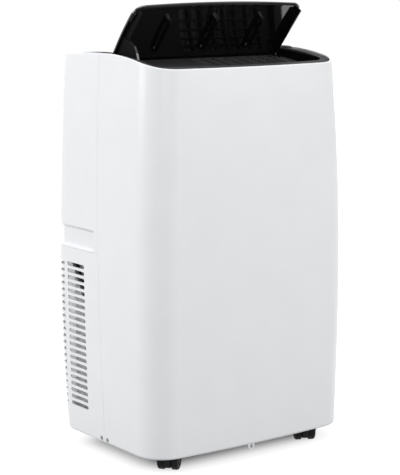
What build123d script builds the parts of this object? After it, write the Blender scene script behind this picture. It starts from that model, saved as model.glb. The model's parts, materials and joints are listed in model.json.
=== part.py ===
from build123d import *

import os
from math import asin, cos, pi, radians, sin, sqrt

# Portable room air conditioner on casters, at rest with its air-outlet lid open.
# Millimetres, +Z up, -Y is the front. The origin is on the floor under the middle of the cabinet.

# Cabinet: a rounded box that swells at the waist and draws in towards the skirt and the top
body_width = 430.0
nose_y = -165.0
back_y = 159.0
skirt_z = 27.0
waist_z = 300.0
shoulder_z = 703.0
side_draw = (3.0, 15.5)
front_draw = (4.0, 14.7)
back_draw = (17.2, 4.4)
front_bow_radius = 2200.0
front_corner = 52.0
back_corner = 38.0
wall = 2.5
skirt_round = 4.0
skirt_lip = 3.0
rim_round = 1.8
fit_gap = 0.4
seam_gap = 0.4
seam_foot_y = -2.0
seam_head_y = 22.0
skirt_lug_x = -10.0
skirt_lug_y = (-158.5, -155.5)
skirt_lug_z = 24.5
skirt_lug_radius = 7.0
skirt_lug_hole = 3.8
skirt_lug_hole_z = 22.8

# Cutting blocks run this far past the faces that they cut
overcut = 5.0
overlap = 1.0

# Top profile: a shallow crown that falls towards the front and levels out at the nose
crown_y = 10.0
crown_top_z = 703.4
crown_back_radius = 1100.0
crown_front_radius = 535.0
crown_front_reach = 135.0
dip_radius = 150.0
profile_reach = 230.0
shell_top_z = 715.0
cavity_top_z = 730.0
far_above = 900.0
above_crown = 20.0

# Waist groove of the rear cover
groove_low_z = 361.0
groove_high_z = 400.0
groove_depth = 5.5
groove_start_y = 24.0
groove_gap_x = 88.0

# Intake grille slots
slot_rows = 22
slot_pitch = 12.0
slot_low_z = 78.6
slot_height = 7.2
side_slot_y = 78.8
side_slot_lean = 0.0238
side_slot_width = 54.5
corner_slot_width = 52.0
back_slot_columns = 5
back_slot_rows = slot_rows - 1
back_slot_pitch = 64.0
back_slot_width = 54.0
slot_inner_y = 132.0

# Top deck with its recess, and the lid that closes it
deck_drop = 2.5
deck_thick = 4.5
deck_skirt_z = 664.0
recess_floor_z = 686.2
recess_floor_slope = 0.155
recess_wall = 2.5
recess_half = 181.5
recess_back_y = 25.0
lid_half = 179.5
lid_tip_y = -123.5
lid_bow = 7.0
lid_back_y = 19.5
lid_corner = 20.0
lid_thick = 3.0
lid_gap = 2.0
lid_open_deg = 57.5
lid_lip_x = 172.1
lid_lip_clear = 2.5
hinge_y = 1.5
hinge_z = 680.5
hinge_radius = 4.0
hub_radius = 7.5
arm_radius = 58.0
arm_half = 6.0
arm_inner_x = 170.1
arm_outer_x = 174.1
trough_front_y = 13.5
trough_back_y = 31.3
trough_drop = 39.0
pocket_inner_x = 168.0
drive_pocket = (-60.0, 620.0)
pin_pocket = (-11.0, 668.0)

# Deflector vanes under the lid
vane_names = ("vane_left", "vane_centre", "vane_right")
vane_spacing = 100.0
vane_back_y = -20.0
vane_front_y = -87.0
vane_axis_drop = 4.5
vane_thick = 2.2
vane_above = 2.5
vane_below = 6.5
vane_pin_radius = 1.6
vane_lug = 4.0
vane_lug_half = 3.0
vane_lug_below = 3.2

# Air outlet in the recess floor
outlet_left_x = -24.0
outlet_right_x = 158.0
outlet_front_y = -86.0
outlet_back_y = 7.0
grille_columns = 7
grille_rows = 8
grille_bar = 1.8
grille_depth = 10.0

# Control panel behind the lid
panel_half = 110.0
panel_front_y = 45.0
panel_back_y = 115.0
panel_thick = 2.5
panel_proud = 0.4
panel_ledge = 6.0
window_size = (60.0, 22.0)
window_y = 95.0
button_names = ("button_power", "button_mode", "button_fan", "button_minus", "button_plus")
button_pitch = 40.0
button_y = 64.0
button_radius = 8.0
button_rise = 1.2
button_flange = 1.6
button_flange_thick = 1.4
board_z = 681.0
board_thick = 1.6
board_y = (50.0, 110.0)
board_post_y = (60.0, 100.0)
board_post_radius = 1.8
board_post_x = panel_half - 2.0
board_half = panel_half + 2.0

# Casters
caster_x = 148.0
caster_front_y = -110.0
caster_back_y = 95.0
caster_trail = 13.0
wheel_radius = 19.0
wheel_inner_x = 6.5
wheel_outer_x = 18.5
axle_radius = 2.5
stem_radius = 5.0
stem_top_z = 57.0
caster_boss_radius = 10.0
running_gap = 0.06
casters = {
    "front_left": (-caster_x, caster_front_y, 132.0),
    "front_right": (caster_x, caster_front_y, 150.0),
    "rear_left": (-caster_x, caster_back_y, -80.0),
    "rear_right": (caster_x, caster_back_y, -35.0),
}

# Inner parts
pan_z = 44.0
pan_top_z = 47.0
pan_rim_z = 55.0
tray_z = 488.0
tray_top_z = 491.0
tray_rim_z = 503.0
fan_shaft_radius = 4.0
exhaust_z = 414.0
exhaust_radius = 65.0
exhaust_back_y = 165.0
collar_wall = 4.0
collar_flange = 13.0
collar_flange_thick = 2.5
collar_round = 1.2
filter_half = 165.0
filter_low_z = 505.0
filter_high_z = 660.0
filter_gap = 0.6
filter_rows = 11
frame_cells = (6, 3)
frame_cell_size = (49.5, 43.5)
frame_bar = 3.5
frame_clear = (1.5, 2.5)
side_screws = ((-10.0, 34.0), (8.0, 34.0))
screw_head_radius = 3.4
screw_head_depth = 1.4
screw_shank_radius = 2.0
screw_length = 12.0
screw_slot_half = (2.4, 0.4)
screw_clear = 0.8
screw_sunk = 0.6
drain_ports = {"drain_plug_lower": (120.0, 67.0), "drain_plug_upper": (-150.0, 452.0)}
drain_radius = 7.0
drain_boss = 10.0
drain_inner_y = 133.0
drain_head_gap = 1.6
drain_head_thick = 4.0
drain_head_round = 1.2
gland_x = 150.0
gland_z = 440.0
gland_radius = 9.0
gland_flange = 13.0
gland_bore_radius = 4.2
gland_flange_thick = 2.5
gland_inner_y = 140.0
gland_outer_y = 164.5


def drawn_in(z, draw):
    """How far a face has drawn in from the waist at height z."""
    if z > waist_z:
        return draw[1] * ((z - waist_z) / (shoulder_z - waist_z)) ** 2
    return draw[0] * ((waist_z - z) / (waist_z - skirt_z)) ** 2


def body_outline(z, inset):
    """Draw the cabinet's plan outline at height z, moved inwards by inset."""
    half = body_width / 2 - drawn_in(z, side_draw) - inset
    nose = nose_y + drawn_in(z, front_draw) + inset
    back = back_y - drawn_in(z, back_draw) - inset
    bow = front_bow_radius - inset
    front_r = front_corner - inset
    back_r = back_corner - inset
    corner_x = half - front_r
    corner_y = nose + bow - sqrt((bow - front_r) ** 2 - corner_x**2)
    spread = asin(corner_x / (bow - front_r))
    halfway = (spread + pi / 2) / 2
    meet_x = bow * sin(spread)
    meet_y = nose + bow - bow * cos(spread)
    front_mid = (corner_x + front_r * sin(halfway), corner_y - front_r * cos(halfway))
    back_mid = back_r * (1 - sqrt(0.5))
    ThreePointArc((-meet_x, meet_y), (0, nose), (meet_x, meet_y))
    ThreePointArc((meet_x, meet_y), front_mid, (half, corner_y))
    Line((half, corner_y), (half, back - back_r))
    ThreePointArc((half, back - back_r), (half - back_mid, back - back_mid), (half - back_r, back))
    Line((half - back_r, back), (back_r - half, back))
    ThreePointArc((back_r - half, back), (back_mid - half, back - back_mid), (-half, back - back_r))
    Line((-half, back - back_r), (-half, corner_y))
    ThreePointArc((-half, corner_y), (-front_mid[0], front_mid[1]), (-meet_x, meet_y))


def body_block(sections, ruled=False):
    """A solid through the cabinet's outline at each (height, inset)."""
    with BuildPart() as block:
        for z, inset in sections:
            with BuildSketch(Plane.XY.offset(z)):
                with BuildLine():
                    body_outline(z, inset)
                make_face()
        loft(ruled=ruled)
    return block.part


def even_block(inset, low, high):
    """The cabinet's solid from low to high, moved inwards by inset all round."""
    steps = max(2, round((high - low) / 90))
    return body_block([(low + (high - low) * i / steps, inset) for i in range(steps + 1)])


def crown_z(y):
    """Height of the cabinet's top profile at y."""
    turn_y = crown_y - crown_front_reach
    front_centre_z = crown_top_z - crown_front_radius
    if y >= crown_y:
        return crown_top_z - crown_back_radius + sqrt(crown_back_radius**2 - (y - crown_y) ** 2)
    if y >= turn_y:
        return front_centre_z + sqrt(crown_front_radius**2 - (y - crown_y) ** 2)
    turn = asin(crown_front_reach / crown_front_radius)
    dip_y = turn_y - dip_radius * sin(turn)
    dip_z = front_centre_z + (crown_front_radius + dip_radius) * cos(turn)
    return dip_z - sqrt(dip_radius**2 - (max(y, dip_y) - dip_y) ** 2)


def crown_curve(drop):
    """Draw the top profile in Y and Z, lowered square to itself by drop. Returns its two ends."""
    back_r = crown_back_radius - drop
    front_r = crown_front_radius - drop
    dip_r = dip_radius + drop
    turn = asin(crown_front_reach / crown_front_radius)
    reach = asin((profile_reach - crown_y) / crown_back_radius)
    back_centre_z = crown_top_z - crown_back_radius
    front_centre_z = crown_top_z - crown_front_radius
    dip_y = crown_y - (crown_front_radius + dip_radius) * sin(turn)
    dip_z = front_centre_z + (crown_front_radius + dip_radius) * cos(turn)
    start = (crown_y + back_r * sin(reach), back_centre_z + back_r * cos(reach))
    back_mid = (crown_y + back_r * sin(reach / 2), back_centre_z + back_r * cos(reach / 2))
    top = (crown_y, crown_top_z - drop)
    front_mid = (crown_y - front_r * sin(turn / 2), front_centre_z + front_r * cos(turn / 2))
    turn_point = (crown_y - front_r * sin(turn), front_centre_z + front_r * cos(turn))
    dip_mid = (dip_y + dip_r * sin(turn / 2), dip_z - dip_r * cos(turn / 2))
    dip_point = (dip_y, dip_z - dip_r)
    end = (-profile_reach, dip_z - dip_r)
    ThreePointArc(start, back_mid, top)
    ThreePointArc(top, front_mid, turn_point)
    ThreePointArc(turn_point, dip_mid, dip_point)
    Line(dip_point, end)
    return start, end


def beyond_crown(drop, far_z):
    """Everything between the lowered top profile and the height far_z, across the whole width."""
    with BuildPart() as mass:
        with BuildSketch(Plane.YZ):
            with BuildLine():
                start, end = crown_curve(drop)
                Polyline(end, (end[0], far_z), (start[0], far_z), start)
            make_face()
        extrude(amount=body_width, both=True)
    return mass.part


def beyond_floor(drop, far_z):
    """Everything between the recess floor's incline, lowered by drop, and the height far_z."""
    with BuildPart() as mass:
        with BuildSketch(Plane.YZ):
            with BuildLine():
                front, back = ((y, recess_floor_z + recess_floor_slope * y - drop)
                               for y in (-profile_reach, profile_reach))
                Polyline(front, back, (back[0], far_z), (front[0], far_z), close=True)
            make_face()
        extrude(amount=body_width, both=True)
    return mass.part


def prism_between(plan, above, below):
    """What is left of an upright prism on plan after two masses are cut off it."""
    with BuildPart() as prism:
        add(plan)
        extrude(amount=shell_top_z + above_crown)
        add(above, mode=Mode.SUBTRACT)
        add(below, mode=Mode.SUBTRACT)
    return prism.part


def crown_slab(plan, top_drop, bottom_drop):
    """The part of an upright prism on plan between two lowered copies of the top profile."""
    return prism_between(plan, beyond_crown(top_drop, far_above), beyond_crown(bottom_drop, -skirt_z))


def floor_prism(plan, top_drop, floor_drop):
    """The part of an upright prism on plan from the lowered top profile to the lowered recess floor."""
    return prism_between(plan, beyond_crown(top_drop, far_above), beyond_floor(floor_drop, -skirt_z))


def span(x_range, y_range, z_range):
    """A box given by its lowest and highest values on each axis."""
    with BuildPart() as block:
        with BuildSketch(Plane.XY.offset(z_range[0])):
            with Locations((sum(x_range) / 2, sum(y_range) / 2)):
                Rectangle(x_range[1] - x_range[0], y_range[1] - y_range[0])
        extrude(amount=z_range[1] - z_range[0])
    return block.part


def flat(x_range, y_range):
    """A plan rectangle given by its lowest and highest values."""
    with BuildSketch() as plan:
        with Locations((sum(x_range) / 2, sum(y_range) / 2)):
            Rectangle(x_range[1] - x_range[0], y_range[1] - y_range[0])
    return plan.sketch


def rod_y(x, z, radius, y_front, y_back):
    """A round bar along Y."""
    with BuildPart() as rod:
        with BuildSketch(Plane.XZ.offset(-y_back)):
            with Locations((x, z)):
                Circle(radius)
        extrude(amount=y_back - y_front)
    return rod.part


def rod_x(y, z, radius, x_low, x_high):
    """A round bar along X."""
    with BuildPart() as rod:
        with BuildSketch(Plane.YZ.offset(x_low)):
            with Locations((y, z)):
                Circle(radius)
        extrude(amount=x_high - x_low)
    return rod.part


def lid_plan(grow, back):
    """The lid's plan with its bowed front edge, grown by grow on the sides and front."""
    half = lid_half + grow
    tip = lid_tip_y - grow
    with BuildSketch() as plan:
        with BuildLine():
            ThreePointArc((-half, tip + lid_bow), (0, tip), (half, tip + lid_bow))
            Polyline((half, tip + lid_bow), (half, back), (-half, back), (-half, tip + lid_bow))
        make_face()
        fillet(plan.vertices().group_by(Axis.Y)[0], lid_corner + grow)
    return plan.sketch


def write(piece, name):
    """Label one finished piece and save it."""
    piece.part.label = name
    export_step(piece.part, f"parts/{name}.step")


os.makedirs("parts", exist_ok=True)

# Cabinet shell, from which the front cover, the two rear covers and the filter grille are cut
groove_edges = (groove_low_z, groove_low_z + groove_depth, groove_high_z - groove_depth, groove_high_z)
groove_insets = (0.0, groove_depth, groove_depth, 0.0)
with BuildPart() as groove:
    for side in (-1, 1):
        x_range = sorted((side * groove_gap_x, side * body_width))
        add(span(x_range, (groove_start_y, 2 * back_y), (groove_low_z, groove_high_z)))
    add(body_block(list(zip(groove_edges, groove_insets)), ruled=True), mode=Mode.SUBTRACT)
with BuildPart() as groove_backing:
    for side in (-1, 1):
        x_range = sorted((side * (groove_gap_x - wall), side * body_width))
        add(span(x_range, (groove_start_y - wall, 2 * back_y), (groove_low_z, groove_high_z)))
    backing = [(z, inset + wall) for z, inset in zip(groove_edges, groove_insets)]
    add(body_block(backing, ruled=True), mode=Mode.SUBTRACT)
with BuildPart() as cavity:
    add(even_block(wall, skirt_z + wall, cavity_top_z))
    add(groove_backing.part, mode=Mode.SUBTRACT)
    add(even_block(wall + skirt_lip, skirt_z - overcut, skirt_z + wall + overcut))
mid_wall = even_block(wall / 2, skirt_z, shell_top_z)
with BuildPart() as shell:
    add(even_block(0, skirt_z, shell_top_z))
    fillet(shell.faces().sort_by(Axis.Z)[0].edges(), skirt_round)
    add(cavity.part, mode=Mode.SUBTRACT)
    add(groove.part, mode=Mode.SUBTRACT)
    add(beyond_crown(0, far_above), mode=Mode.SUBTRACT)
    rim = []
    for edge in shell.edges():
        middle = edge.position_at(0.5)
        on_crown = abs(middle.Z - crown_z(middle.Y)) < fit_gap
        if on_crown and edge.length > 2 * wall and not mid_wall.is_inside(middle):
            rim.append(edge)
    fillet(rim, rim_round)

# Seam between the covers: a plane that leans back slightly towards the top
seam_rise = Vector(0, seam_head_y - seam_foot_y, shoulder_z - skirt_z).normalized()
seam_normal = seam_rise.cross(Vector(1, 0, 0))
seam = Plane(origin=(0, seam_foot_y, skirt_z), x_dir=(1, 0, 0), z_dir=seam_normal)

# Screw seats through both covers at the skirt
with BuildPart() as screw_seats:
    for y, z in side_screws:
        for side in (-1, 1):
            seat_x = side * (body_width / 2 - drawn_in(z, side_draw))
            far_x = seat_x + side * overcut
            hole = sorted((seat_x - side * (wall + overcut), far_x))
            recess = sorted((seat_x - side * screw_head_depth, far_x))
            add(rod_x(y, z, screw_shank_radius + screw_clear, *hole))
            add(rod_x(y, z, screw_head_radius + screw_clear, *recess))

with BuildPart() as front_cover:
    add(shell.part)
    split(bisect_by=seam.offset(-seam_gap / 2), keep=Keep.BOTTOM)
    add(screw_seats.part, mode=Mode.SUBTRACT)
    add(rod_y(skirt_lug_x, skirt_lug_z, skirt_lug_radius, *skirt_lug_y))
    lug_bore = (nose_y - overcut, skirt_lug_y[1] + overlap)
    add(rod_y(skirt_lug_x, skirt_lug_hole_z, skirt_lug_hole, *lug_bore), mode=Mode.SUBTRACT)
write(front_cover, "front_cover")

# Slots: the rows on the sides lean back towards the top like the seam, and the back leaves out the lowest
with BuildPart() as side_slots:
    for side in (-1, 1):
        with BuildSketch(Plane.YZ.offset(side * (body_width / 2 - wall - 2 * overcut))):
            for row in range(slot_rows):
                lean = side_slot_lean * slot_pitch * (row - (slot_rows - 1) / 2)
                with Locations((side_slot_y + lean, slot_low_z + row * slot_pitch)):
                    SlotOverall(side_slot_width, slot_height)
        extrude(amount=side * back_corner)
with BuildPart() as corner_slots:
    for side in (-1, 1):
        centre = (side * (body_width / 2 - back_corner), back_y - overcut - back_corner, 0)
        outward = (side, 1, 0)
        with BuildSketch(Plane(origin=centre, x_dir=(-1, side, 0), z_dir=outward).offset(2 * overcut)):
            for row in range(slot_rows):
                with Locations((0, slot_low_z + row * slot_pitch)):
                    SlotOverall(corner_slot_width, slot_height)
        extrude(amount=2 * back_corner)
with BuildPart() as back_slots:
    with BuildSketch(Plane.XZ.offset(-2 * back_y)):
        top_row_z = slot_low_z + slot_pitch * (slot_rows - 1)
        with Locations((0, top_row_z - slot_pitch * (back_slot_rows - 1) / 2)):
            with GridLocations(back_slot_pitch, slot_pitch, back_slot_columns, back_slot_rows):
                SlotOverall(back_slot_width, slot_height)
    extrude(amount=2 * back_y - slot_inner_y)


def drain_spout(x, z):
    """A boss behind the rear wall for one drain plug, and the bore through it."""
    outer_y = back_y - drawn_in(z, back_draw)
    plug_bore = (drain_inner_y - overcut, outer_y + overcut)
    boss = rod_y(x, z, drain_boss, drain_inner_y, outer_y - overlap)
    return boss, rod_y(x, z, drain_radius + running_gap, *plug_bore)


# Rear shell, parted along the foot of the waist groove into a slotted lower cover and an upper one
parting = Plane.XY.offset(groove_low_z)
with BuildPart() as rear_shell:
    add(shell.part)
    split(bisect_by=seam.offset(seam_gap / 2), keep=Keep.TOP)
    collar_hole = exhaust_radius + collar_wall + fit_gap
    add(rod_y(0, exhaust_z, collar_hole, slot_inner_y, 2 * back_y), mode=Mode.SUBTRACT)
with BuildPart() as lower_rear_cover:
    add(rear_shell.part)
    split(bisect_by=parting.offset(-seam_gap / 2), keep=Keep.BOTTOM)
    add(screw_seats.part, mode=Mode.SUBTRACT)
    add(side_slots.part, mode=Mode.SUBTRACT)
    add(corner_slots.part, mode=Mode.SUBTRACT)
    add(back_slots.part, mode=Mode.SUBTRACT)
    spout, spout_bore = drain_spout(*drain_ports["drain_plug_lower"])
    add(spout)
    add(spout_bore, mode=Mode.SUBTRACT)
write(lower_rear_cover, "lower_rear_cover")
with BuildPart() as rear_cover:
    add(rear_shell.part)
    split(bisect_by=parting.offset(seam_gap / 2), keep=Keep.TOP)
    spout, spout_bore = drain_spout(*drain_ports["drain_plug_upper"])
    add(spout)
    add(spout_bore, mode=Mode.SUBTRACT)
    add(rod_y(gland_x, gland_z, gland_radius + fit_gap, slot_inner_y, 2 * back_y), mode=Mode.SUBTRACT)
    opening = ((-filter_half, filter_half), (slot_inner_y, 2 * back_y), (filter_low_z, filter_high_z))
    add(span(*opening), mode=Mode.SUBTRACT)
write(rear_cover, "rear_cover")

# Rear filter: an outer grille flush with the rear cover and a frame with coarse ribs behind it
grille_half = filter_half - filter_gap
with BuildPart() as filter_grille:
    add(shell.part)
    grille_z = (filter_low_z + filter_gap, filter_high_z - filter_gap)
    add(span((-grille_half, grille_half), (slot_inner_y, 2 * back_y), grille_z), mode=Mode.INTERSECT)
    with BuildSketch(Plane.XZ.offset(-2 * back_y)):
        with Locations((0, (filter_low_z + filter_high_z) / 2)):
            with GridLocations(back_slot_pitch, slot_pitch, back_slot_columns, filter_rows):
                SlotOverall(back_slot_width, slot_height)
    extrude(amount=2 * back_y - slot_inner_y, mode=Mode.SUBTRACT)
write(filter_grille, "filter_grille")

frame_back_y = 151.5
frame_thick = 5.0
with BuildPart() as filter_frame:
    with BuildSketch(Plane.XZ.offset(-frame_back_y)):
        with Locations((0, (filter_low_z + filter_high_z) / 2)):
            frame_width = 2 * (grille_half - frame_clear[0])
            frame_height = filter_high_z - filter_low_z - 2 * frame_clear[1]
            Rectangle(frame_width, frame_height)
            pitch_x, pitch_z = (size + frame_bar for size in frame_cell_size)
            with GridLocations(pitch_x, pitch_z, *frame_cells):
                Rectangle(*frame_cell_size, mode=Mode.SUBTRACT)
    extrude(amount=frame_thick)
write(filter_frame, "filter_frame")

# Side screws, two on each side of the skirt
with BuildPart() as cover_screws:
    for y, z in side_screws:
        for side in (-1, 1):
            seat_x = side * (body_width / 2 - drawn_in(z, side_draw))
            head = sorted((seat_x - side * screw_head_depth, seat_x - side * screw_sunk))
            shank = sorted((seat_x - side * screw_length, seat_x - side * screw_head_depth))
            add(rod_x(y, z, screw_head_radius, *head))
            add(rod_x(y, z, screw_shank_radius, *shank))
            slot_y, slot_z = screw_slot_half
            add(span(head, (y - slot_y, y + slot_y), (z - slot_z, z + slot_z)), mode=Mode.SUBTRACT)
write(cover_screws, "cover_screws")

# Base pan: a plate with a low rim, caster bosses, rails for the coil and blocks for the side screws
pan_inset = wall + fit_gap
pan_rim = 2.5
screw_block_x = (196.0, body_width / 2 - side_draw[0] - pan_inset)
screw_block_y = (-18.0, 16.0)
coil_rail_x = (120.0, 128.0)
coil_rail_y = (100.0, 128.0)
coil_rail_height = 3.0
with BuildPart() as base_pan:
    add(even_block(pan_inset, pan_z, pan_rim_z))
    add(even_block(pan_inset + pan_rim, pan_top_z, pan_rim_z + overcut), mode=Mode.SUBTRACT)
    for side in (-1, 1):
        block_x = sorted(side * x for x in screw_block_x)
        add(span(block_x, screw_block_y, (skirt_z + wall + fit_gap, pan_z)))
        rail_x = sorted(side * x for x in coil_rail_x)
        add(span(rail_x, coil_rail_y, (pan_top_z, pan_top_z + coil_rail_height)))
        bite = sorted((side * (screw_block_x[0] - overcut), side * body_width / 2))
        for y, z in side_screws:
            add(rod_x(y, z, screw_shank_radius, *bite), mode=Mode.SUBTRACT)
    for x, y, turn in casters.values():
        with BuildSketch(Plane.XY.offset(pan_z)):
            with Locations((x, y)):
                Circle(caster_boss_radius)
        extrude(amount=stem_top_z - pan_z)
        with BuildSketch(Plane.XY.offset(pan_z - overcut)):
            with Locations((x, y)):
                Circle(stem_radius + running_gap)
        extrude(amount=stem_top_z, mode=Mode.SUBTRACT)
write(base_pan, "base_pan")

# Casters: a housing with its stem, a steel axle and two wheels. X is the axle, Y points along the trail.
hood_outer = wheel_radius + 2.2
hood_inner = wheel_radius + 1.0
hood_low_z = wheel_radius + 4.0
hood_span = 4 * hood_outer
web_half = wheel_inner_x - 0.5
web_low_z = 7.0
axle_cover = 2.5
axle_end_gap = 0.5
axle_reach = wheel_outer_x - axle_cover
tread_rounds = (1.5, 4.0)
hub_groove = (8.0, 11.0)
hub_groove_depth = 1.5
with BuildPart() as housing_form:
    with BuildSketch(Plane.YZ.offset(-wheel_outer_x)):
        with Locations((caster_trail, wheel_radius)):
            Circle(hood_outer)
            Circle(hood_inner, mode=Mode.SUBTRACT)
        with Locations((caster_trail, 0)):
            Rectangle(hood_span, 2 * hood_low_z, mode=Mode.SUBTRACT)
    extrude(amount=2 * wheel_outer_x)
    with BuildSketch(Plane.YZ.offset(-web_half)):
        with Locations((caster_trail, wheel_radius)):
            Circle(hood_outer)
        with Locations((caster_trail, 0)):
            Rectangle(hood_span, 2 * web_low_z, mode=Mode.SUBTRACT)
    extrude(amount=2 * web_half)
    with BuildSketch(Plane.XY.offset(hood_low_z)):
        Circle(stem_radius)
    extrude(amount=stem_top_z - hood_low_z)
    add(rod_x(caster_trail, wheel_radius, axle_radius, -wheel_outer_x, wheel_outer_x), mode=Mode.SUBTRACT)
with BuildPart() as wheel_form:
    add(rod_x(caster_trail, wheel_radius, wheel_radius, wheel_inner_x, wheel_outer_x))
    rims = wheel_form.edges().filter_by(GeomType.CIRCLE).sort_by(Axis.X)
    fillet(rims[-1], tread_rounds[1])
    fillet(rims[0], tread_rounds[0])
    with BuildSketch(Plane.YZ.offset(wheel_outer_x)):
        with Locations((caster_trail, wheel_radius)):
            Circle(hub_groove[1])
            Circle(hub_groove[0], mode=Mode.SUBTRACT)
    extrude(amount=-hub_groove_depth, mode=Mode.SUBTRACT)
    bore_end = axle_reach + axle_end_gap
    add(rod_x(caster_trail, wheel_radius, axle_radius + running_gap, 0, bore_end), mode=Mode.SUBTRACT)

for corner, (x, y, turn) in casters.items():
    place = Location((x, y, 0), (0, 0, turn))
    with BuildPart() as caster_housing:
        add(housing_form.part.moved(place))
    write(caster_housing, f"caster_housing_{corner}")
    with BuildPart() as caster_axle:
        add(rod_x(caster_trail, wheel_radius, axle_radius, -axle_reach, axle_reach).moved(place))
    write(caster_axle, f"caster_axle_{corner}")
    with BuildPart() as wheel_a:
        add(wheel_form.part.moved(place))
    write(wheel_a, f"caster_wheel_a_{corner}")
    with BuildPart() as wheel_b:
        add(wheel_form.part.mirror(Plane.YZ).moved(place))
    write(wheel_b, f"caster_wheel_b_{corner}")

# Top deck: a plate that follows the crown, with a skirt, the lid's recess, and a seat for the panel
deck_inset = wall + fit_gap
plate_bottom = deck_drop + deck_thick
recess_outer = recess_half + recess_wall
trough_bottom = trough_drop + recess_wall
deck_skirt = 2.2
panel_seat_gap = 0.3
motor_room_x = recess_outer + 7.0
motor_room_half = 15.0
pocket_top_z = recess_floor_z + recess_floor_slope * trough_front_y
pockets = ((-1, drive_pocket), (1, pin_pocket))
with BuildPart() as under_deck:
    add(even_block(deck_inset + deck_skirt, deck_skirt_z - overcut, shell_top_z))
    add(beyond_crown(plate_bottom, far_above), mode=Mode.SUBTRACT)
with BuildPart() as top_deck:
    add(even_block(deck_inset, deck_skirt_z, shell_top_z))
    add(beyond_crown(deck_drop, far_above), mode=Mode.SUBTRACT)
    add(under_deck.part, mode=Mode.SUBTRACT)
    recess_wall_plan = lid_plan(lid_gap + recess_wall, trough_back_y + recess_wall)
    add(floor_prism(recess_wall_plan, deck_drop + overlap, recess_wall))
    trough_wall = (trough_front_y - recess_wall, trough_back_y + recess_wall)
    trough_plan = flat((-recess_outer, recess_outer), trough_wall)
    add(crown_slab(trough_plan, plate_bottom - overlap, trough_bottom))
    for side, (front_y, low_z) in pockets:
        pocket_x = sorted((side * (pocket_inner_x - recess_wall), side * recess_outer))
        pocket_y = (front_y - recess_wall, trough_front_y)
        add(span(pocket_x, pocket_y, (low_z - recess_wall, pocket_top_z)))
    recess_plan = lid_plan(lid_gap, trough_front_y)
    add(floor_prism(recess_plan, -above_crown, 0), mode=Mode.SUBTRACT)
    mouth = flat((-recess_half, recess_half), (trough_front_y - overlap, recess_back_y))
    add(crown_slab(mouth, -above_crown, trough_drop), mode=Mode.SUBTRACT)
    trough = flat((-recess_half, recess_half), (trough_front_y, trough_back_y))
    add(crown_slab(trough, plate_bottom, trough_drop), mode=Mode.SUBTRACT)
    for side, (front_y, low_z) in pockets:
        pocket_x = sorted((side * pocket_inner_x, side * recess_half))
        pocket_y = (front_y, trough_front_y + overlap)
        add(span(pocket_x, pocket_y, (low_z, pocket_top_z + overlap)), mode=Mode.SUBTRACT)
        hinge_bore = sorted((side * (recess_half - overlap), side * (recess_outer + overlap)))
        add(rod_x(hinge_y, hinge_z, hinge_radius + running_gap, *hinge_bore), mode=Mode.SUBTRACT)
    outlet = ((outlet_left_x, outlet_right_x), (outlet_front_y, outlet_back_y))
    add(span(*outlet, (deck_skirt_z - overcut, crown_top_z)), mode=Mode.SUBTRACT)
    motor_room_y = (hinge_y - motor_room_half, hinge_y + motor_room_half)
    motor_room_z = (deck_skirt_z - overcut, crown_z(motor_room_y[0]) - plate_bottom)
    add(span((-body_width / 2, -motor_room_x), motor_room_y, motor_room_z), mode=Mode.SUBTRACT)
    seat_half = panel_half + panel_seat_gap
    seat_y = (panel_front_y - panel_seat_gap, panel_back_y + panel_seat_gap)
    seat = flat((-seat_half, seat_half), seat_y)
    add(crown_slab(seat, -above_crown, deck_drop - panel_proud + panel_thick), mode=Mode.SUBTRACT)
    open_half = panel_half - panel_ledge
    open_y = (panel_front_y + panel_ledge, panel_back_y - panel_ledge)
    add(span((-open_half, open_half), open_y, (board_z, far_above)), mode=Mode.SUBTRACT)
    board_posts = [(side * board_post_x, y) for side in (-1, 1) for y in board_post_y]
    for x, y in board_posts:
        with BuildSketch(Plane.XY.offset(board_z + board_thick)):
            with Locations((x, y)):
                Circle(board_post_radius)
        extrude(amount=crown_z(y) - plate_bottom + overlap - board_z - board_thick)
write(top_deck, "top_deck")

# Outlet grille: an egg-crate of bars that follows the recess floor
grille_gap = 0.3
grille_width = outlet_right_x - outlet_left_x - 2 * grille_gap
grille_length = outlet_back_y - outlet_front_y - 2 * grille_gap
column_pitch = (grille_width - grille_bar) / grille_columns
row_pitch = (grille_length - grille_bar) / grille_rows
with BuildSketch() as grille_plan:
    with Locations(((outlet_left_x + outlet_right_x) / 2, (outlet_front_y + outlet_back_y) / 2)):
        Rectangle(grille_width, grille_length)
        with GridLocations(column_pitch, row_pitch, grille_columns, grille_rows):
            Rectangle(column_pitch - grille_bar, row_pitch - grille_bar, mode=Mode.SUBTRACT)
with BuildPart() as outlet_grille:
    grille_below = beyond_floor(grille_depth, -skirt_z)
    add(prism_between(grille_plan.sketch, beyond_floor(0, far_above), grille_below))
write(outlet_grille, "outlet_grille")

# Lid, drawn closed and then swung open about its hinge
hinge = Axis((0, hinge_y, hinge_z), (1, 0, 0))
lid_under = deck_drop + lid_thick
lid_overlap = 0.5
rim_insets = (3.0, 5.5)
rim_reach = 40.0
rim_depth = 3.0
lip_thick = 2.0
lip_y = (lid_tip_y + 14.0, hinge_y - 13.5)
arm_angles = (-75.0, -48.0, -20.0)
arm_top_y = -51.0
arm_top_drop = deck_drop + 2.0


def hinge_point(radius, degrees_up):
    """A point in Y and Z at a radius in front of the hinge, a number of degrees above level."""
    angle = radians(degrees_up)
    return (hinge_y - radius * cos(angle), hinge_z + radius * sin(angle))


def vane_end(y):
    """Height of the vanes' pivot line at y, with the lid closed."""
    return crown_z(y) - lid_under - vane_axis_drop


def vane_plane(x):
    """A plane square to a vane's pivot line, at its rear end, with Y up."""
    start = Vector(x, vane_back_y, vane_end(vane_back_y))
    finish = Vector(x, vane_front_y, vane_end(vane_front_y))
    return Plane(origin=start, x_dir=(1, 0, 0), z_dir=finish - start)


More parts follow.
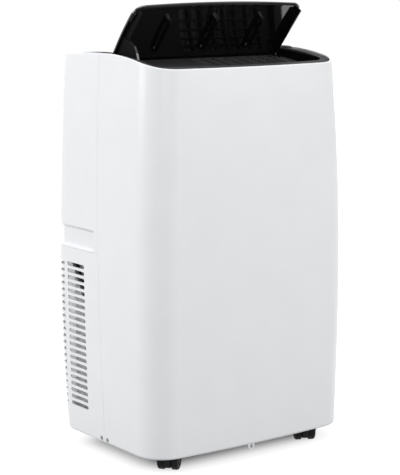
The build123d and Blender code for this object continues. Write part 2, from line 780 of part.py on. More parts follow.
vane_places = [(i - 1) * vane_spacing for i in range(len(vane_names))]
vane_length = (Vector(0, vane_front_y, vane_end(vane_front_y))
               - Vector(0, vane_back_y, vane_end(vane_back_y))).length
with BuildSketch() as rim_plan:
    add(lid_plan(-rim_insets[0], lid_tip_y + rim_reach))
    add(lid_plan(-rim_insets[1], lid_tip_y + rim_reach + overlap), mode=Mode.SUBTRACT)
with BuildPart() as closed_lid:
    add(crown_slab(lid_plan(0, lid_back_y), deck_drop, lid_under))
    for side in (-1, 1):
        lip_x = sorted((side * lid_lip_x, side * (lid_lip_x - lip_thick)))
        add(floor_prism(flat(lip_x, lip_y), lid_under - lid_overlap, -lid_lip_clear))
        with BuildSketch(Plane.YZ.offset(side * arm_inner_x)):
            with BuildLine():
                hub_top = (hinge_y + arm_half, crown_z(hinge_y) - arm_top_drop)
                hub_back = (hinge_y + arm_half, hinge_z)
                if side < 0:
                    foot, middle, head = (hinge_point(arm_radius, angle) for angle in arm_angles)
                    ThreePointArc(foot, middle, head)
                    arm_top = (arm_top_y, crown_z(arm_top_y) - arm_top_drop)
                    Polyline(head, arm_top, hub_top, hub_back, foot)
                else:
                    hub_front = (hinge_y - arm_half, hinge_z)
                    Polyline(hub_front, (hub_front[0], hub_top[1]), hub_top, hub_back, close=True)
            make_face()
            with Locations((hinge_y, hinge_z)):
                Circle(hub_radius)
        extrude(amount=side * (arm_outer_x - arm_inner_x))
        hub_bore = sorted((side * (arm_inner_x - overlap), side * (arm_outer_x + overlap)))
        add(rod_x(hinge_y, hinge_z, hinge_radius, *hub_bore), mode=Mode.SUBTRACT)
    add(crown_slab(rim_plan.sketch, lid_under - lid_overlap, lid_under + rim_depth))
    for x in vane_places:
        for y in (vane_back_y, vane_front_y):
            lug = flat((x - vane_lug_half, x + vane_lug_half), (y - vane_lug / 2, y + vane_lug / 2))
            add(crown_slab(lug, lid_under - lid_overlap, lid_under + vane_axis_drop + vane_lug_below))
        with BuildSketch(vane_plane(x).offset(-vane_lug)):
            Circle(vane_pin_radius + running_gap)
        extrude(amount=vane_length + 2 * vane_lug, mode=Mode.SUBTRACT)
with BuildPart() as lid:
    add(closed_lid.part.rotate(hinge, -lid_open_deg))
write(lid, "lid")

vane_end_gap = 0.6
vane_round = 1.0
for name, x in zip(vane_names, vane_places):
    with BuildPart() as closed_vane:
        with BuildSketch(vane_plane(x).offset(vane_lug / 2 + vane_end_gap)):
            with Locations((0, (vane_above - vane_below) / 2)):
                RectangleRounded(vane_thick, vane_above + vane_below, vane_round)
        extrude(amount=vane_length - vane_lug - 2 * vane_end_gap)
        with BuildSketch(vane_plane(x).offset(-vane_lug / 2)):
            Circle(vane_pin_radius)
        extrude(amount=vane_length + vane_lug)
    with BuildPart() as vane:
        add(closed_vane.part.rotate(hinge, -lid_open_deg))
    write(vane, name)

# Lid drive: a slim gear motor outside the recess's left wall, its shaft, and a plain pin on the right
motor_thick = 11.0
motor_radius = 13.0
motor_back = 2.0
motor_bevel = 0.8
shaft_gap = 0.3
pin_head_radius = hinge_radius + 2.0
pin_head_x = (recess_outer + 0.5, recess_outer + 3.0)
with BuildPart() as lid_motor:
    add(rod_x(hinge_y, hinge_z, motor_radius, -recess_outer - motor_thick, -recess_outer))
    chamfer(lid_motor.edges().filter_by(GeomType.CIRCLE), motor_bevel)
    shaft_hole = (-recess_outer - motor_thick + motor_back, -recess_outer + overlap)
    add(rod_x(hinge_y, hinge_z, hinge_radius + shaft_gap, *shaft_hole), mode=Mode.SUBTRACT)
write(lid_motor, "lid_motor")
with BuildPart() as lid_motor_shaft:
    shaft_end = shaft_hole[0] + shaft_gap
    add(rod_x(hinge_y, hinge_z, hinge_radius, shaft_end, -arm_inner_x))
write(lid_motor_shaft, "lid_motor_shaft")
with BuildPart() as lid_pivot_pin:
    add(rod_x(hinge_y, hinge_z, hinge_radius, arm_inner_x, pin_head_x[1]))
    add(rod_x(hinge_y, hinge_z, pin_head_radius, *pin_head_x))
write(lid_pivot_pin, "lid_pivot_pin")

# Control panel with its window, push buttons and circuit board
panel_top = deck_drop - panel_proud
panel_bottom = panel_top + panel_thick
button_places = [(i - (len(button_names) - 1) / 2) * button_pitch for i in range(len(button_names))]
panel_corner = 6.0
button_clear = 0.4
button_round = 0.6
button_flange_gap = 1.0
window_gap = 0.1
with BuildSketch() as panel_plan:
    with Locations((0, (panel_front_y + panel_back_y) / 2)):
        RectangleRounded(2 * panel_half, panel_back_y - panel_front_y, panel_corner)
    with Locations((0, window_y)):
        Rectangle(*window_size, mode=Mode.SUBTRACT)
    with Locations(*[(x, button_y) for x in button_places]):
        Circle(button_radius + button_clear, mode=Mode.SUBTRACT)
with BuildPart() as control_panel:
    add(crown_slab(panel_plan.sketch, panel_top, panel_bottom))
write(control_panel, "control_panel")
with BuildPart() as display_window:
    half_x, half_y = (size / 2 - window_gap for size in window_size)
    glass = flat((-half_x, half_x), (window_y - half_y, window_y + half_y))
    add(crown_slab(glass, panel_top, panel_bottom))
write(display_window, "display_window")
button_top_z = crown_z(button_y) - panel_top + button_rise
flange_top_z = crown_z(button_y) - panel_bottom - button_flange_gap
flange_low_z = flange_top_z - button_flange_thick
for name, x in zip(button_names, button_places):
    with BuildPart() as button:
        with BuildSketch(Plane.XY.offset(flange_low_z)):
            with Locations((x, button_y)):
                Circle(button_radius + button_flange)
        extrude(amount=button_flange_thick)
        with BuildSketch(Plane.XY.offset(flange_low_z)):
            with Locations((x, button_y)):
                Circle(button_radius)
        extrude(amount=button_top_z - flange_low_z)
        fillet(button.faces().sort_by(Axis.Z)[-1].edges(), button_round)
    write(button, name)
with BuildPart() as display_board:
    add(span((-board_half, board_half), board_y, (board_z, board_z + board_thick)))
write(display_board, "display_board")

# Partition tray between the warm lower chamber and the cool upper one
tray_inset = wall + 0.6
tray_rim = 2.0
pipe_window_x = (180.0, 202.0)
suction_pipe_y = 60.0
liquid_pipe_y = 95.0
pipe_window = 24.0
hose_inner_x = -190.0
hose_back_y = 120.0
tray_drain_radius = 3.0
tray_cut_z = (tray_z - overcut, tray_rim_z + overcut)
with BuildPart() as partition_tray:
    add(even_block(tray_inset, tray_z, tray_rim_z))
    add(even_block(tray_inset + tray_rim, tray_top_z, tray_rim_z + overcut), mode=Mode.SUBTRACT)
    for side, y in ((-1, suction_pipe_y), (1, liquid_pipe_y)):
        gap_x = sorted(side * x for x in pipe_window_x)
        gap_y = (y - pipe_window / 2, y + pipe_window / 2)
        add(span(gap_x, gap_y, tray_cut_z), mode=Mode.SUBTRACT)
    with BuildSketch(Plane.XY.offset(tray_cut_z[0])):
        with Locations((hose_inner_x, hose_back_y)):
            Circle(tray_drain_radius)
    extrude(amount=tray_cut_z[1] - tray_cut_z[0], mode=Mode.SUBTRACT)
write(partition_tray, "partition_tray")


def blower_outline(fan, grow):
    """A scroll's outline in X and Z: the drum and the straight throat above it."""
    with BuildSketch(Plane.XZ) as outline:
        with Locations((fan["x"], fan["z"])):
            Circle(fan["drum"] + grow)
        throat_half = (fan["throat"][1] - fan["throat"][0]) / 2 + grow
        with Locations((sum(fan["throat"]) / 2, (fan["z"] + fan["throat_z"]) / 2)):
            Rectangle(2 * throat_half, fan["throat_z"] - fan["z"])
    return outline.sketch


def blower_scroll(fan):
    """A scroll housing with an open throat, a round inlet at the back and a motor hole in front."""
    sheet = 2.0
    inlet_lip = 8.0
    shaft_hole_radius = 16.0
    foot_half = 4.0
    foot_inset = 8.0
    with BuildPart() as scroll:
        add(blower_outline(fan, sheet).moved(Location((0, fan["back_y"], 0))))
        extrude(amount=fan["back_y"] - fan["front_y"], dir=(0, -1, 0))
        inner = blower_outline({**fan, "throat_z": fan["throat_z"] + 2 * overcut}, 0)
        add(inner.moved(Location((0, fan["back_y"] - sheet, 0))))
        extrude(amount=fan["back_y"] - fan["front_y"] - 2 * sheet, dir=(0, -1, 0), mode=Mode.SUBTRACT)
        inlet = (fan["back_y"] - sheet - overlap, fan["back_y"] + overlap)
        add(rod_y(fan["x"], fan["z"], fan["wheel"] - inlet_lip, *inlet), mode=Mode.SUBTRACT)
        shaft_hole = (fan["front_y"] - overlap, fan["front_y"] + sheet + overlap)
        add(rod_y(fan["x"], fan["z"], shaft_hole_radius, *shaft_hole), mode=Mode.SUBTRACT)
        foot_y = (fan["front_y"] + foot_inset, fan["back_y"] - foot_inset)
        for x in (fan["x"] - fan["drum"] / 2, fan["x"] + fan["drum"] / 2):
            foot_top = fan["z"] - sqrt((fan["drum"] + sheet) ** 2 - (x - fan["x"]) ** 2) + sheet
            add(span((x - foot_half, x + foot_half), foot_y, (fan["floor_z"], foot_top)))
    return scroll.part


def blower_wheel(fan, blades):
    """A drum wheel: a back plate on a hub with its shaft, a ring of slanted blades and a front ring."""
    end_gap = 10.0
    plate = 3.0
    ring_width = 13.0
    boss_radius = 11.0
    boss_length = 24.0
    blade_depth = 11.5
    blade_thick = 1.4
    blade_turn = 35.0
    shaft_length = 28.0
    front = fan["front_y"] + end_gap
    back = fan["back_y"] - end_gap
    outer = fan["wheel"]
    inner = outer - ring_width
    with BuildPart() as wheel:
        add(rod_y(fan["x"], fan["z"], outer, front, front + plate))
        add(rod_y(fan["x"], fan["z"], boss_radius, front - plate, front + boss_length))
        with BuildSketch(Plane.XZ.offset(-back)):
            with Locations((fan["x"], fan["z"])):
                Circle(outer)
                Circle(inner, mode=Mode.SUBTRACT)
        extrude(amount=plate)
        with BuildSketch(Plane.XZ.offset(-back + overlap)):
            with Locations((fan["x"], fan["z"])):
                with PolarLocations((outer + inner) / 2, blades):
                    Rectangle(blade_depth, blade_thick, rotation=blade_turn)
        extrude(amount=back - front - 2 * overlap)
        add(rod_y(fan["x"], fan["z"], fan_shaft_radius, fan["front_y"] - shaft_length, front))
    return wheel.part


def blower_motor(fan, radius, length):
    """A round motor against the scroll's front, with a bearing bore for the wheel's shaft."""
    face = fan["front_y"]
    end = face - length
    end_round = 6.0
    cap_height = 5.0
    band_proud = 3.0
    band_place = 0.35 * length
    band_length = 0.25 * length
    bearing_depth = 30.0
    with BuildPart() as motor:
        add(rod_y(fan["x"], fan["z"], radius, end, face))
        fillet(motor.edges().filter_by(GeomType.CIRCLE).sort_by(Axis.Y)[0], end_round)
        add(rod_y(fan["x"], fan["z"], radius / 2, end - cap_height, end + overlap))
        with BuildSketch(Plane.XZ.offset(band_place - face)):
            with Locations((fan["x"], fan["z"])):
                Circle(radius + band_proud)
                Circle(radius - overlap, mode=Mode.SUBTRACT)
        extrude(amount=band_length)
        bearing = (face - bearing_depth, face + overlap)
        add(rod_y(fan["x"], fan["z"], fan_shaft_radius + running_gap, *bearing), mode=Mode.SUBTRACT)
    return motor.part


# Cool-air blower under the outlet grille
cool_fan = {"x": 75.0, "z": 582.0, "drum": 79.0, "wheel": 68.0, "front_y": -88.0, "back_y": 9.0,
            "throat": (outlet_left_x, outlet_right_x), "throat_z": 690.0, "floor_z": tray_top_z}
scroll_gap = 0.5
with BuildPart() as evaporator_scroll:
    add(blower_scroll(cool_fan))
    add(beyond_floor(recess_wall + scroll_gap, far_above), mode=Mode.SUBTRACT)
write(evaporator_scroll, "evaporator_scroll")
with BuildPart() as evaporator_fan_wheel:
    add(blower_wheel(cool_fan, blades=36))
write(evaporator_fan_wheel, "evaporator_fan_wheel")
with BuildPart() as evaporator_fan_motor:
    add(blower_motor(cool_fan, radius=38, length=42))
write(evaporator_fan_motor, "evaporator_fan_motor")

# Warm-air blower over the base pan, blowing up into the exhaust duct
warm_fan = {"x": 30.0, "z": 205.0, "drum": 92.0, "wheel": 78.0, "front_y": 5.0, "back_y": 92.0,
            "throat": (-66.0, 66.0), "throat_z": 344.0, "floor_z": pan_top_z}
with BuildPart() as condenser_scroll:
    add(blower_scroll(warm_fan))
write(condenser_scroll, "condenser_scroll")
with BuildPart() as condenser_fan_wheel:
    add(blower_wheel(warm_fan, blades=40))
write(condenser_fan_wheel, "condenser_fan_wheel")
with BuildPart() as condenser_fan_motor:
    add(blower_motor(warm_fan, radius=42, length=58))
write(condenser_fan_motor, "condenser_fan_motor")

# Exhaust duct from the warm-air scroll to the round collar at the back
duct_half = 70.0
duct_sheet = 2.0
duct_z = (344.0, 486.0)
duct_y = (warm_fan["front_y"], 98.0)
tube_end_y = 137.5
collar_gap = 0.5
with BuildPart() as exhaust_duct:
    add(span((-duct_half, duct_half), duct_y, duct_z))
    tube_radius = exhaust_radius + 1.0
    add(rod_y(0, exhaust_z, tube_radius + duct_sheet, duct_y[1] - duct_sheet, tube_end_y))
    inside_x = (duct_sheet - duct_half, duct_half - duct_sheet)
    inside_y = (duct_y[0] + duct_sheet, duct_y[1] - duct_sheet)
    inside_z = (duct_z[0] - overcut, duct_z[1] - duct_sheet)
    add(span(inside_x, inside_y, inside_z), mode=Mode.SUBTRACT)
    add(rod_y(0, exhaust_z, tube_radius, duct_y[1] - overcut, tube_end_y + overcut), mode=Mode.SUBTRACT)
write(exhaust_duct, "exhaust_duct")
with BuildPart() as exhaust_collar:
    flange_y = back_y + running_gap
    add(rod_y(0, exhaust_z, exhaust_radius + collar_wall, tube_end_y + collar_gap, exhaust_back_y))
    add(rod_y(0, exhaust_z, exhaust_radius + collar_flange, flange_y, flange_y + collar_flange_thick))
    collar_rim = exhaust_collar.edges().filter_by(GeomType.CIRCLE).sort_by(Axis.Y)[-1]
    fillet(collar_rim, collar_round)
    collar_bore = (tube_end_y - overcut, exhaust_back_y + overcut)
    add(rod_y(0, exhaust_z, exhaust_radius, *collar_bore), mode=Mode.SUBTRACT)
write(exhaust_collar, "exhaust_collar")

# Heat exchangers: finned packs, a flat one above and one bent round three sides below
coil_thick = 24.0
coil_half = 200.0
coil_back_y = 129.0
coil_front_y = 45.0
coil_low_z = pan_top_z + coil_rail_height
coil_high_z = 342.0
coil_bend = coil_thick + 6.0
with BuildPart() as condenser_coil:
    with BuildSketch(Plane.XY.offset(coil_low_z)) as coil_plan:
        with Locations((0, (coil_front_y + coil_back_y) / 2)):
            Rectangle(2 * coil_half, coil_back_y - coil_front_y)
        fillet(coil_plan.vertices().group_by(Axis.Y)[-1], coil_bend)
        with Locations((0, (coil_front_y + coil_back_y) / 2 - coil_thick)):
            Rectangle(2 * (coil_half - coil_thick), coil_back_y - coil_front_y, mode=Mode.SUBTRACT)
    extrude(amount=coil_high_z - coil_low_z)
write(condenser_coil, "condenser_coil")

cool_coil_half = 172.0
cool_coil_y = (104.0, 139.0)
cool_coil_z = (tray_top_z, 655.0)
end_plate = 1.5
end_plate_edge = 2.0
return_bends = 4
return_pitch = 38.0
return_size = (27.0, 8.0)
return_reach = 7.0
return_y = sum(cool_coil_y) / 2 - 9.0
with BuildPart() as evaporator_coil:
    add(span((-cool_coil_half, cool_coil_half), cool_coil_y, cool_coil_z))
    for side in (-1, 1):
        plate_x = sorted((side * cool_coil_half, side * (cool_coil_half + end_plate)))
        plate_y = (cool_coil_y[0] - end_plate_edge, cool_coil_y[1] + end_plate_edge)
        add(span(plate_x, plate_y, cool_coil_z))
        with BuildSketch(Plane.YZ.offset(side * (cool_coil_half + end_plate))):
            with Locations((return_y, sum(cool_coil_z) / 2)):
                with GridLocations(1, return_pitch, 1, return_bends):
                    SlotOverall(*return_size, rotation=90)
        extrude(amount=side * return_reach)
write(evaporator_coil, "evaporator_coil")

# Compressor on three rubber feet, with its suction accumulator strapped to its side
compressor_x = -112.0
compressor_y = -62.0
compressor_radius = 57.0
compressor_z = (59.0, 285.0)
compressor_rounds = (12.0, 24.0)
terminal_radius = 15.0
terminal_height = 14.0
terminal_offset = 8.0
foot_reach = 70.0
foot_width = 22.0
foot_thick = 4.0
grommet_radius = 10.0
accumulator_x = -36.0
accumulator_y = -112.0
accumulator_z = (90.0, 232.0)
accumulator_radius = 24.0
accumulator_round = 14.0
strap_z = (150.0, 168.0)
strap_half = 7.0
with BuildPart() as accumulator:
    with BuildSketch(Plane.XY.offset(accumulator_z[0])):
        with Locations((accumulator_x, accumulator_y)):
            Circle(accumulator_radius)
    extrude(amount=accumulator_z[1] - accumulator_z[0])
    fillet(accumulator.edges().filter_by(GeomType.CIRCLE), accumulator_round)
    strap = Vector(compressor_x - accumulator_x, compressor_y - accumulator_y, 0)
    strap_place = Plane(origin=(accumulator_x, accumulator_y, strap_z[0]), x_dir=strap, z_dir=(0, 0, 1))
    with BuildSketch(strap_place):
        with Locations((strap.length / 2, 0)):
            Rectangle(strap.length, 2 * strap_half)
    extrude(amount=strap_z[1] - strap_z[0])
with BuildPart() as compressor:
    with BuildSketch(Plane.XY.offset(compressor_z[0])):
        with Locations((compressor_x, compressor_y)):
            Circle(compressor_radius)
    extrude(amount=compressor_z[1] - compressor_z[0])
    rounds = compressor.edges().filter_by(GeomType.CIRCLE).sort_by(Axis.Z)
    fillet(rounds[-1], compressor_rounds[1])
    fillet(rounds[0], compressor_rounds[0])
    with BuildSketch(Plane.XY.offset(compressor_z[1] - overlap)):
        with Locations((compressor_x, compressor_y - terminal_offset)):
            Circle(terminal_radius)
    extrude(amount=terminal_height)
    with BuildSketch(Plane.XY.offset(compressor_z[0])):
        with Locations((compressor_x, compressor_y)):
            with PolarLocations(foot_reach / 2, 3, start_angle=90):
                SlotOverall(foot_reach + foot_width, foot_width)
    extrude(amount=foot_thick)
    add(accumulator.part)
write(compressor, "compressor")
with BuildPart() as compressor_grommets:
    with BuildSketch(Plane.XY.offset(pan_top_z)):
        with Locations((compressor_x, compressor_y)):
            with PolarLocations(foot_reach, 3, start_angle=90):
                Circle(grommet_radius)
    extrude(amount=compressor_z[0] - pan_top_z)
write(compressor_grommets, "compressor_grommets")


def pipe(route, bend, radius):
    """A round pipe along straight runs joined by bends of one radius."""
    with BuildPart() as tube:
        with BuildLine() as path:
            FilletPolyline(*route, radius=bend)
        start = route[0]
        heading = Vector(*route[1]) - Vector(*start)
        with BuildSketch(Plane(origin=start, z_dir=heading)):
            Circle(radius)
        sweep(path=path.wires()[0])
    return tube.part


# Refrigerant pipes of bare copper: hot gas to the lower coil, and liquid up to the cool coil
hot_pipe_x = -98.0
hot_pipe_y = -44.0
hot_pipe_top_z = 378.0
hot_side_x = -188.0
hot_coil_y = 96.0
side_pipe_x = 191.0
joint_y = 112.5
joint_z = 553.0
joint_x = cool_coil_half + end_plate + return_reach
hot_route = [(hot_pipe_x, hot_pipe_y, compressor_z[1]), (hot_pipe_x, hot_pipe_y, hot_pipe_top_z),
             (hot_side_x, hot_pipe_y, hot_pipe_top_z), (hot_side_x, hot_coil_y, hot_pipe_top_z),
             (hot_side_x, hot_coil_y, coil_high_z)]
liquid_route = [(side_pipe_x, liquid_pipe_y, coil_high_z), (side_pipe_x, liquid_pipe_y, joint_z),
                (side_pipe_x, joint_y, joint_z), (joint_x, joint_y, joint_z)]
with BuildPart() as copper_pipes:
    add(pipe(hot_route, bend=14, radius=4))
    add(pipe(liquid_route, bend=7, radius=3))
write(copper_pipes, "copper_pipes")

# Suction pipe in its black foam sleeve, from the cool coil back to the accumulator
suction_top_z = 440.0
suction_route = [(accumulator_x, accumulator_y, accumulator_z[1]),
                 (accumulator_x, accumulator_y, suction_top_z),
                 (-side_pipe_x, accumulator_y, suction_top_z),
                 (-side_pipe_x, suction_pipe_y, suction_top_z),
                 (-side_pipe_x, suction_pipe_y, joint_z),
                 (-side_pipe_x, joint_y, joint_z),
                 (-joint_x, joint_y, joint_z)]
with BuildPart() as suction_pipe:
    add(pipe(suction_route, bend=8, radius=5))
write(suction_pipe, "suction_pipe")

# Condensate hose from the tray, slanting across the side of the lower coil, down to the base pan
hose_outer_x = -206.2
hose_front_y = 34.0
hose_end_z = pan_rim_z + overcut
hose_route = [(hose_inner_x, hose_back_y, tray_z),
              (hose_inner_x, hose_back_y, 384.0),
              (hose_outer_x, 105.5, 346.0),
              (hose_outer_x, 42.0, 242.0),
              (-203.0, hose_front_y, 150.0),
              (hose_inner_x, hose_front_y - 4, hose_end_z)]
with BuildPart() as condensate_hose:
    add(pipe(hose_route, bend=16, radius=5))
write(condensate_hose, "condensate_hose")

# Control box hung under the partition tray
box_x = (96.0, 182.0)
box_y = (-128.0, -40.0)
box_low_z = 408.0
box_corner = 6.0
box_rim = 2.0
box_rim_z = (424.0, 427.0)
with BuildPart() as control_box:
    add(span(box_x, box_y, (box_low_z, tray_z)))
    fillet(control_box.edges().filter_by(Axis.Z), box_corner)
    rim_x = (box_x[0] - box_rim, box_x[1] + box_rim)
    rim_y = (box_y[0] - box_rim, box_y[1] + box_rim)
    add(span(rim_x, rim_y, box_rim_z))
write(control_box, "control_box")

# Rubber drain plugs, pulled out backwards
for name, (x, z) in drain_ports.items():
    outer_y = back_y - drawn_in(z, back_draw)
    with BuildPart() as drain_plug:
        add(rod_y(x, z, drain_radius, drain_inner_y + overlap, outer_y + drain_head_gap))
        head_y = (outer_y + drain_head_gap, outer_y + drain_head_gap + drain_head_thick)
        add(rod_y(x, z, drain_boss, *head_y))
        fillet(drain_plug.edges().filter_by(GeomType.CIRCLE).sort_by(Axis.Y)[-1], drain_head_round)
    write(drain_plug, name)

# Gland for a power cord
with BuildPart() as cord_gland:
    add(rod_y(gland_x, gland_z, gland_radius, gland_inner_y, gland_outer_y))
    add(rod_y(gland_x, gland_z, gland_flange, back_y, back_y + gland_flange_thick))
    gland_bore = (gland_inner_y - overcut, gland_outer_y + overcut)
    add(rod_y(gland_x, gland_z, gland_bore_radius, *gland_bore), mode=Mode.SUBTRACT)
write(cord_gland, "cord_gland")
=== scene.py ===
import json
from math import asin, cos, pi, radians, sin, sqrt

import bmesh
import bpy
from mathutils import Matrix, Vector


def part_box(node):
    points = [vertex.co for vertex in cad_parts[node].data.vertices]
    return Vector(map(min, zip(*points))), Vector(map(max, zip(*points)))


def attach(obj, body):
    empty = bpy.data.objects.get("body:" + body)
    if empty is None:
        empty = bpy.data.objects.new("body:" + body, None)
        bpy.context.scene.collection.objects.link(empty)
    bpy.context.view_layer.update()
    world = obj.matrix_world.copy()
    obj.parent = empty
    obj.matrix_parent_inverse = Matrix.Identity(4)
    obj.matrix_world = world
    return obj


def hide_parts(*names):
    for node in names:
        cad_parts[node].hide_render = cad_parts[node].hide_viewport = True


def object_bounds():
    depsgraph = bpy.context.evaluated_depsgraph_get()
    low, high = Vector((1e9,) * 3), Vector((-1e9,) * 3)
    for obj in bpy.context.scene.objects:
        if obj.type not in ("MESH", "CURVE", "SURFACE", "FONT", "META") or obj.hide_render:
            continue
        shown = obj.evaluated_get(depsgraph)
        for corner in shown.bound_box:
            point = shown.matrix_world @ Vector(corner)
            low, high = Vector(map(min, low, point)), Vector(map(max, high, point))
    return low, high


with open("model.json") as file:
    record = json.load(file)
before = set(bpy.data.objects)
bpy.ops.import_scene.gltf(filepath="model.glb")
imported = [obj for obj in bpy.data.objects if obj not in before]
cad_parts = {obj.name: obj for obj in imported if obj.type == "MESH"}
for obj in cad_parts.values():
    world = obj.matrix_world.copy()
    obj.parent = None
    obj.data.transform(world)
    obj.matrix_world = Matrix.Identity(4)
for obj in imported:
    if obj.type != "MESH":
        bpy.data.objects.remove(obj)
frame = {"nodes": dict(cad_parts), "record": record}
cad_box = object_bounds()
nodes = frame["nodes"]
MM = 0.001

# Bodies that extra pieces ride on
CABINET = "cabinet"
FILTER = "filter"
LID = "lid"

# Endings of the names of repeated nodes
corners = ("front_left", "front_right", "rear_left", "rear_right")
buttons = ("power", "mode", "fan", "minus", "plus")

# The photograph's camera
camera_place = (-1.6898, -2.2725, 0.8507)
camera_aim = (0.0, 0.0, 0.350)
camera_lens = 121.765
camera_shift = (-0.0037, 0.0226)


# Materials

# Noise values between which a tone or a gloss goes from its first end to its second
noise_span = (0.3, 0.7)
tone_detail = 3.0
grain_detail = 2.0
even = (1.0, 1.0, 1.0)
coat_roughness = 0.05

# Cosines of the angle to a satin face's direction where the satin begins and where it is full
facing_span = (0.3, 0.7)


def link(tree, start, finish):
    """Join two node sockets."""
    tree.links.new(start, finish)


def noise(tree, coordinates, size, detail, stretch):
    """A noise pattern whose features are about size metres across, drawn out by stretch."""
    mapping = tree.nodes.new("ShaderNodeMapping")
    mapping.inputs["Scale"].default_value = [1.0 / s for s in stretch]
    link(tree, coordinates, mapping.inputs["Vector"])
    texture = tree.nodes.new("ShaderNodeTexNoise")
    texture.inputs["Scale"].default_value = 1.0 / size
    texture.inputs["Detail"].default_value = detail
    link(tree, mapping.outputs["Vector"], texture.inputs["Vector"])
    return texture.outputs["Fac"]


def ramp(tree, factor, low, high):
    """Blend from the colour low to the colour high over the span of a noise pattern."""
    blend = tree.nodes.new("ShaderNodeValToRGB")
    blend.color_ramp.elements[0].position = noise_span[0]
    blend.color_ramp.elements[1].position = noise_span[1]
    blend.color_ramp.elements[0].color = (*low, 1.0)
    blend.color_ramp.elements[1].color = (*high, 1.0)
    link(tree, factor, blend.inputs["Fac"])
    return blend.outputs["Color"]


def surface(name, tones, mottle, roughness, grain, relief,
            metallic=0.0, coat=0.0, specular=0.5, stretch=even):
    """A moulded, cast or drawn surface.

    tones are the two colours of a soft mottle of the size mottle. roughness gives the two ends of its
    gloss. grain and relief are the width and the height of its fine surface texture, in metres. stretch
    draws both patterns out along X, Y and Z.
    """
    material = bpy.data.materials.new(name)
    material.use_nodes = True
    tree = material.node_tree
    shader = tree.nodes["Principled BSDF"]
    coordinates = tree.nodes.new("ShaderNodeTexCoord").outputs["Object"]
    tone = noise(tree, coordinates, mottle, tone_detail, stretch)
    link(tree, ramp(tree, tone, *tones), shader.inputs["Base Color"])
    fine = noise(tree, coordinates, grain, grain_detail, stretch)
    gloss = tree.nodes.new("ShaderNodeMapRange")
    gloss.inputs["From Min"].default_value = noise_span[0]
    gloss.inputs["From Max"].default_value = noise_span[1]
    gloss.inputs["To Min"].default_value = roughness[0]
    gloss.inputs["To Max"].default_value = roughness[1]
    link(tree, fine, gloss.inputs["Value"])
    link(tree, gloss.outputs["Result"], shader.inputs["Roughness"])
    bump = tree.nodes.new("ShaderNodeBump")
    bump.inputs["Strength"].default_value = 1.0
    bump.inputs["Distance"].default_value = relief
    link(tree, fine, bump.inputs["Height"])
    link(tree, bump.outputs["Normal"], shader.inputs["Normal"])
    shader.inputs["Metallic"].default_value = metallic
    shader.inputs["Coat Weight"].default_value = coat
    shader.inputs["Coat Roughness"].default_value = coat_roughness
    shader.inputs["Specular IOR Level"].default_value = specular
    return material


def satin_face(material, facing, more):
    """Add more roughness where a surface looks along facing, in its piece's own axes."""
    tree = material.node_tree
    shader = tree.nodes["Principled BSDF"]
    gloss = shader.inputs["Roughness"].links[0].from_socket
    along = tree.nodes.new("ShaderNodeVectorMath")
    along.operation = "DOT_PRODUCT"
    along.inputs[1].default_value = facing
    link(tree, tree.nodes.new("ShaderNodeTexCoord").outputs["Normal"], along.inputs[0])
    share = tree.nodes.new("ShaderNodeMapRange")
    share.inputs["From Min"].default_value = facing_span[0]
    share.inputs["From Max"].default_value = facing_span[1]
    share.inputs["To Max"].default_value = more
    link(tree, along.outputs["Value"], share.inputs["Value"])
    total = tree.nodes.new("ShaderNodeMath")
    total.operation = "ADD"
    link(tree, gloss, total.inputs[0])
    link(tree, share.outputs["Result"], total.inputs[1])
    link(tree, total.outputs["Value"], shader.inputs["Roughness"])


def glowing(name, tones, mottle, strength):
    """A lit display print, slightly uneven across its face."""
    material = surface(name, tones, mottle, roughness=(0.3, 0.4), grain=0.2 * MM, relief=0.002 * MM)
    tree = material.node_tree
    shader = tree.nodes["Principled BSDF"]
    tone = shader.inputs["Base Color"].links[0].from_socket
    link(tree, tone, shader.inputs["Emission Color"])
    shader.inputs["Emission Strength"].default_value = strength
    return material


white = surface(
    "white_plastic", ((0.781, 0.795, 0.814), (0.801, 0.812, 0.829)),
    mottle=60 * MM, roughness=(0.27, 0.33), grain=0.9 * MM, relief=0.004 * MM,
)
deck = surface(
    "dark_deck", ((0.034, 0.034, 0.036), (0.041, 0.041, 0.043)),
    mottle=25 * MM, roughness=(0.52, 0.64), grain=0.7 * MM, relief=0.03 * MM,
    specular=0.14,
)
gloss_black = surface(
    "black_gloss", ((0.0045, 0.0045, 0.005), (0.0055, 0.0055, 0.006)),
    mottle=40 * MM, roughness=(0.04, 0.08), grain=1.5 * MM, relief=0.0008 * MM,
    specular=0.8,
)
black = surface(
    "black_plastic", ((0.009, 0.009, 0.010), (0.014, 0.014, 0.015)),
    mottle=14 * MM, roughness=(0.36, 0.48), grain=0.6 * MM, relief=0.02 * MM,
)
wheel_black = surface(
    "wheel_nylon", ((0.0025, 0.0025, 0.0026), (0.0045, 0.0045, 0.0046)),
    mottle=9 * MM, roughness=(0.40, 0.55), grain=0.8 * MM, relief=0.03 * MM,
    specular=0.14,
)
caster_black = surface(
    "caster_housing", ((0.003, 0.003, 0.0032), (0.005, 0.005, 0.0052)),
    mottle=12 * MM, roughness=(0.38, 0.50), grain=0.6 * MM, relief=0.02 * MM,
    specular=0.16,
)
vane_black = surface(
    "vane_black", ((0.003, 0.003, 0.0032), (0.005, 0.005, 0.0053)),
    mottle=14 * MM, roughness=(0.30, 0.42), grain=0.6 * MM, relief=0.01 * MM,
    specular=0.18,
)
grille_black = surface(
    "grille_black", ((0.032, 0.032, 0.034), (0.038, 0.038, 0.040)),
    mottle=14 * MM, roughness=(0.52, 0.64), grain=0.6 * MM, relief=0.02 * MM,
    specular=0.14,
)
# Painted shade: a near-black matt film that darkens the lid's recess wall and the lid's arm and lip
# faces
painted_shade_black = surface(
    "painted_shade_liner", ((0.002, 0.002, 0.0022), (0.004, 0.004, 0.0042)),
    mottle=10 * MM, roughness=(0.70, 0.85), grain=0.6 * MM, relief=0.03 * MM,
    specular=0.08,
)
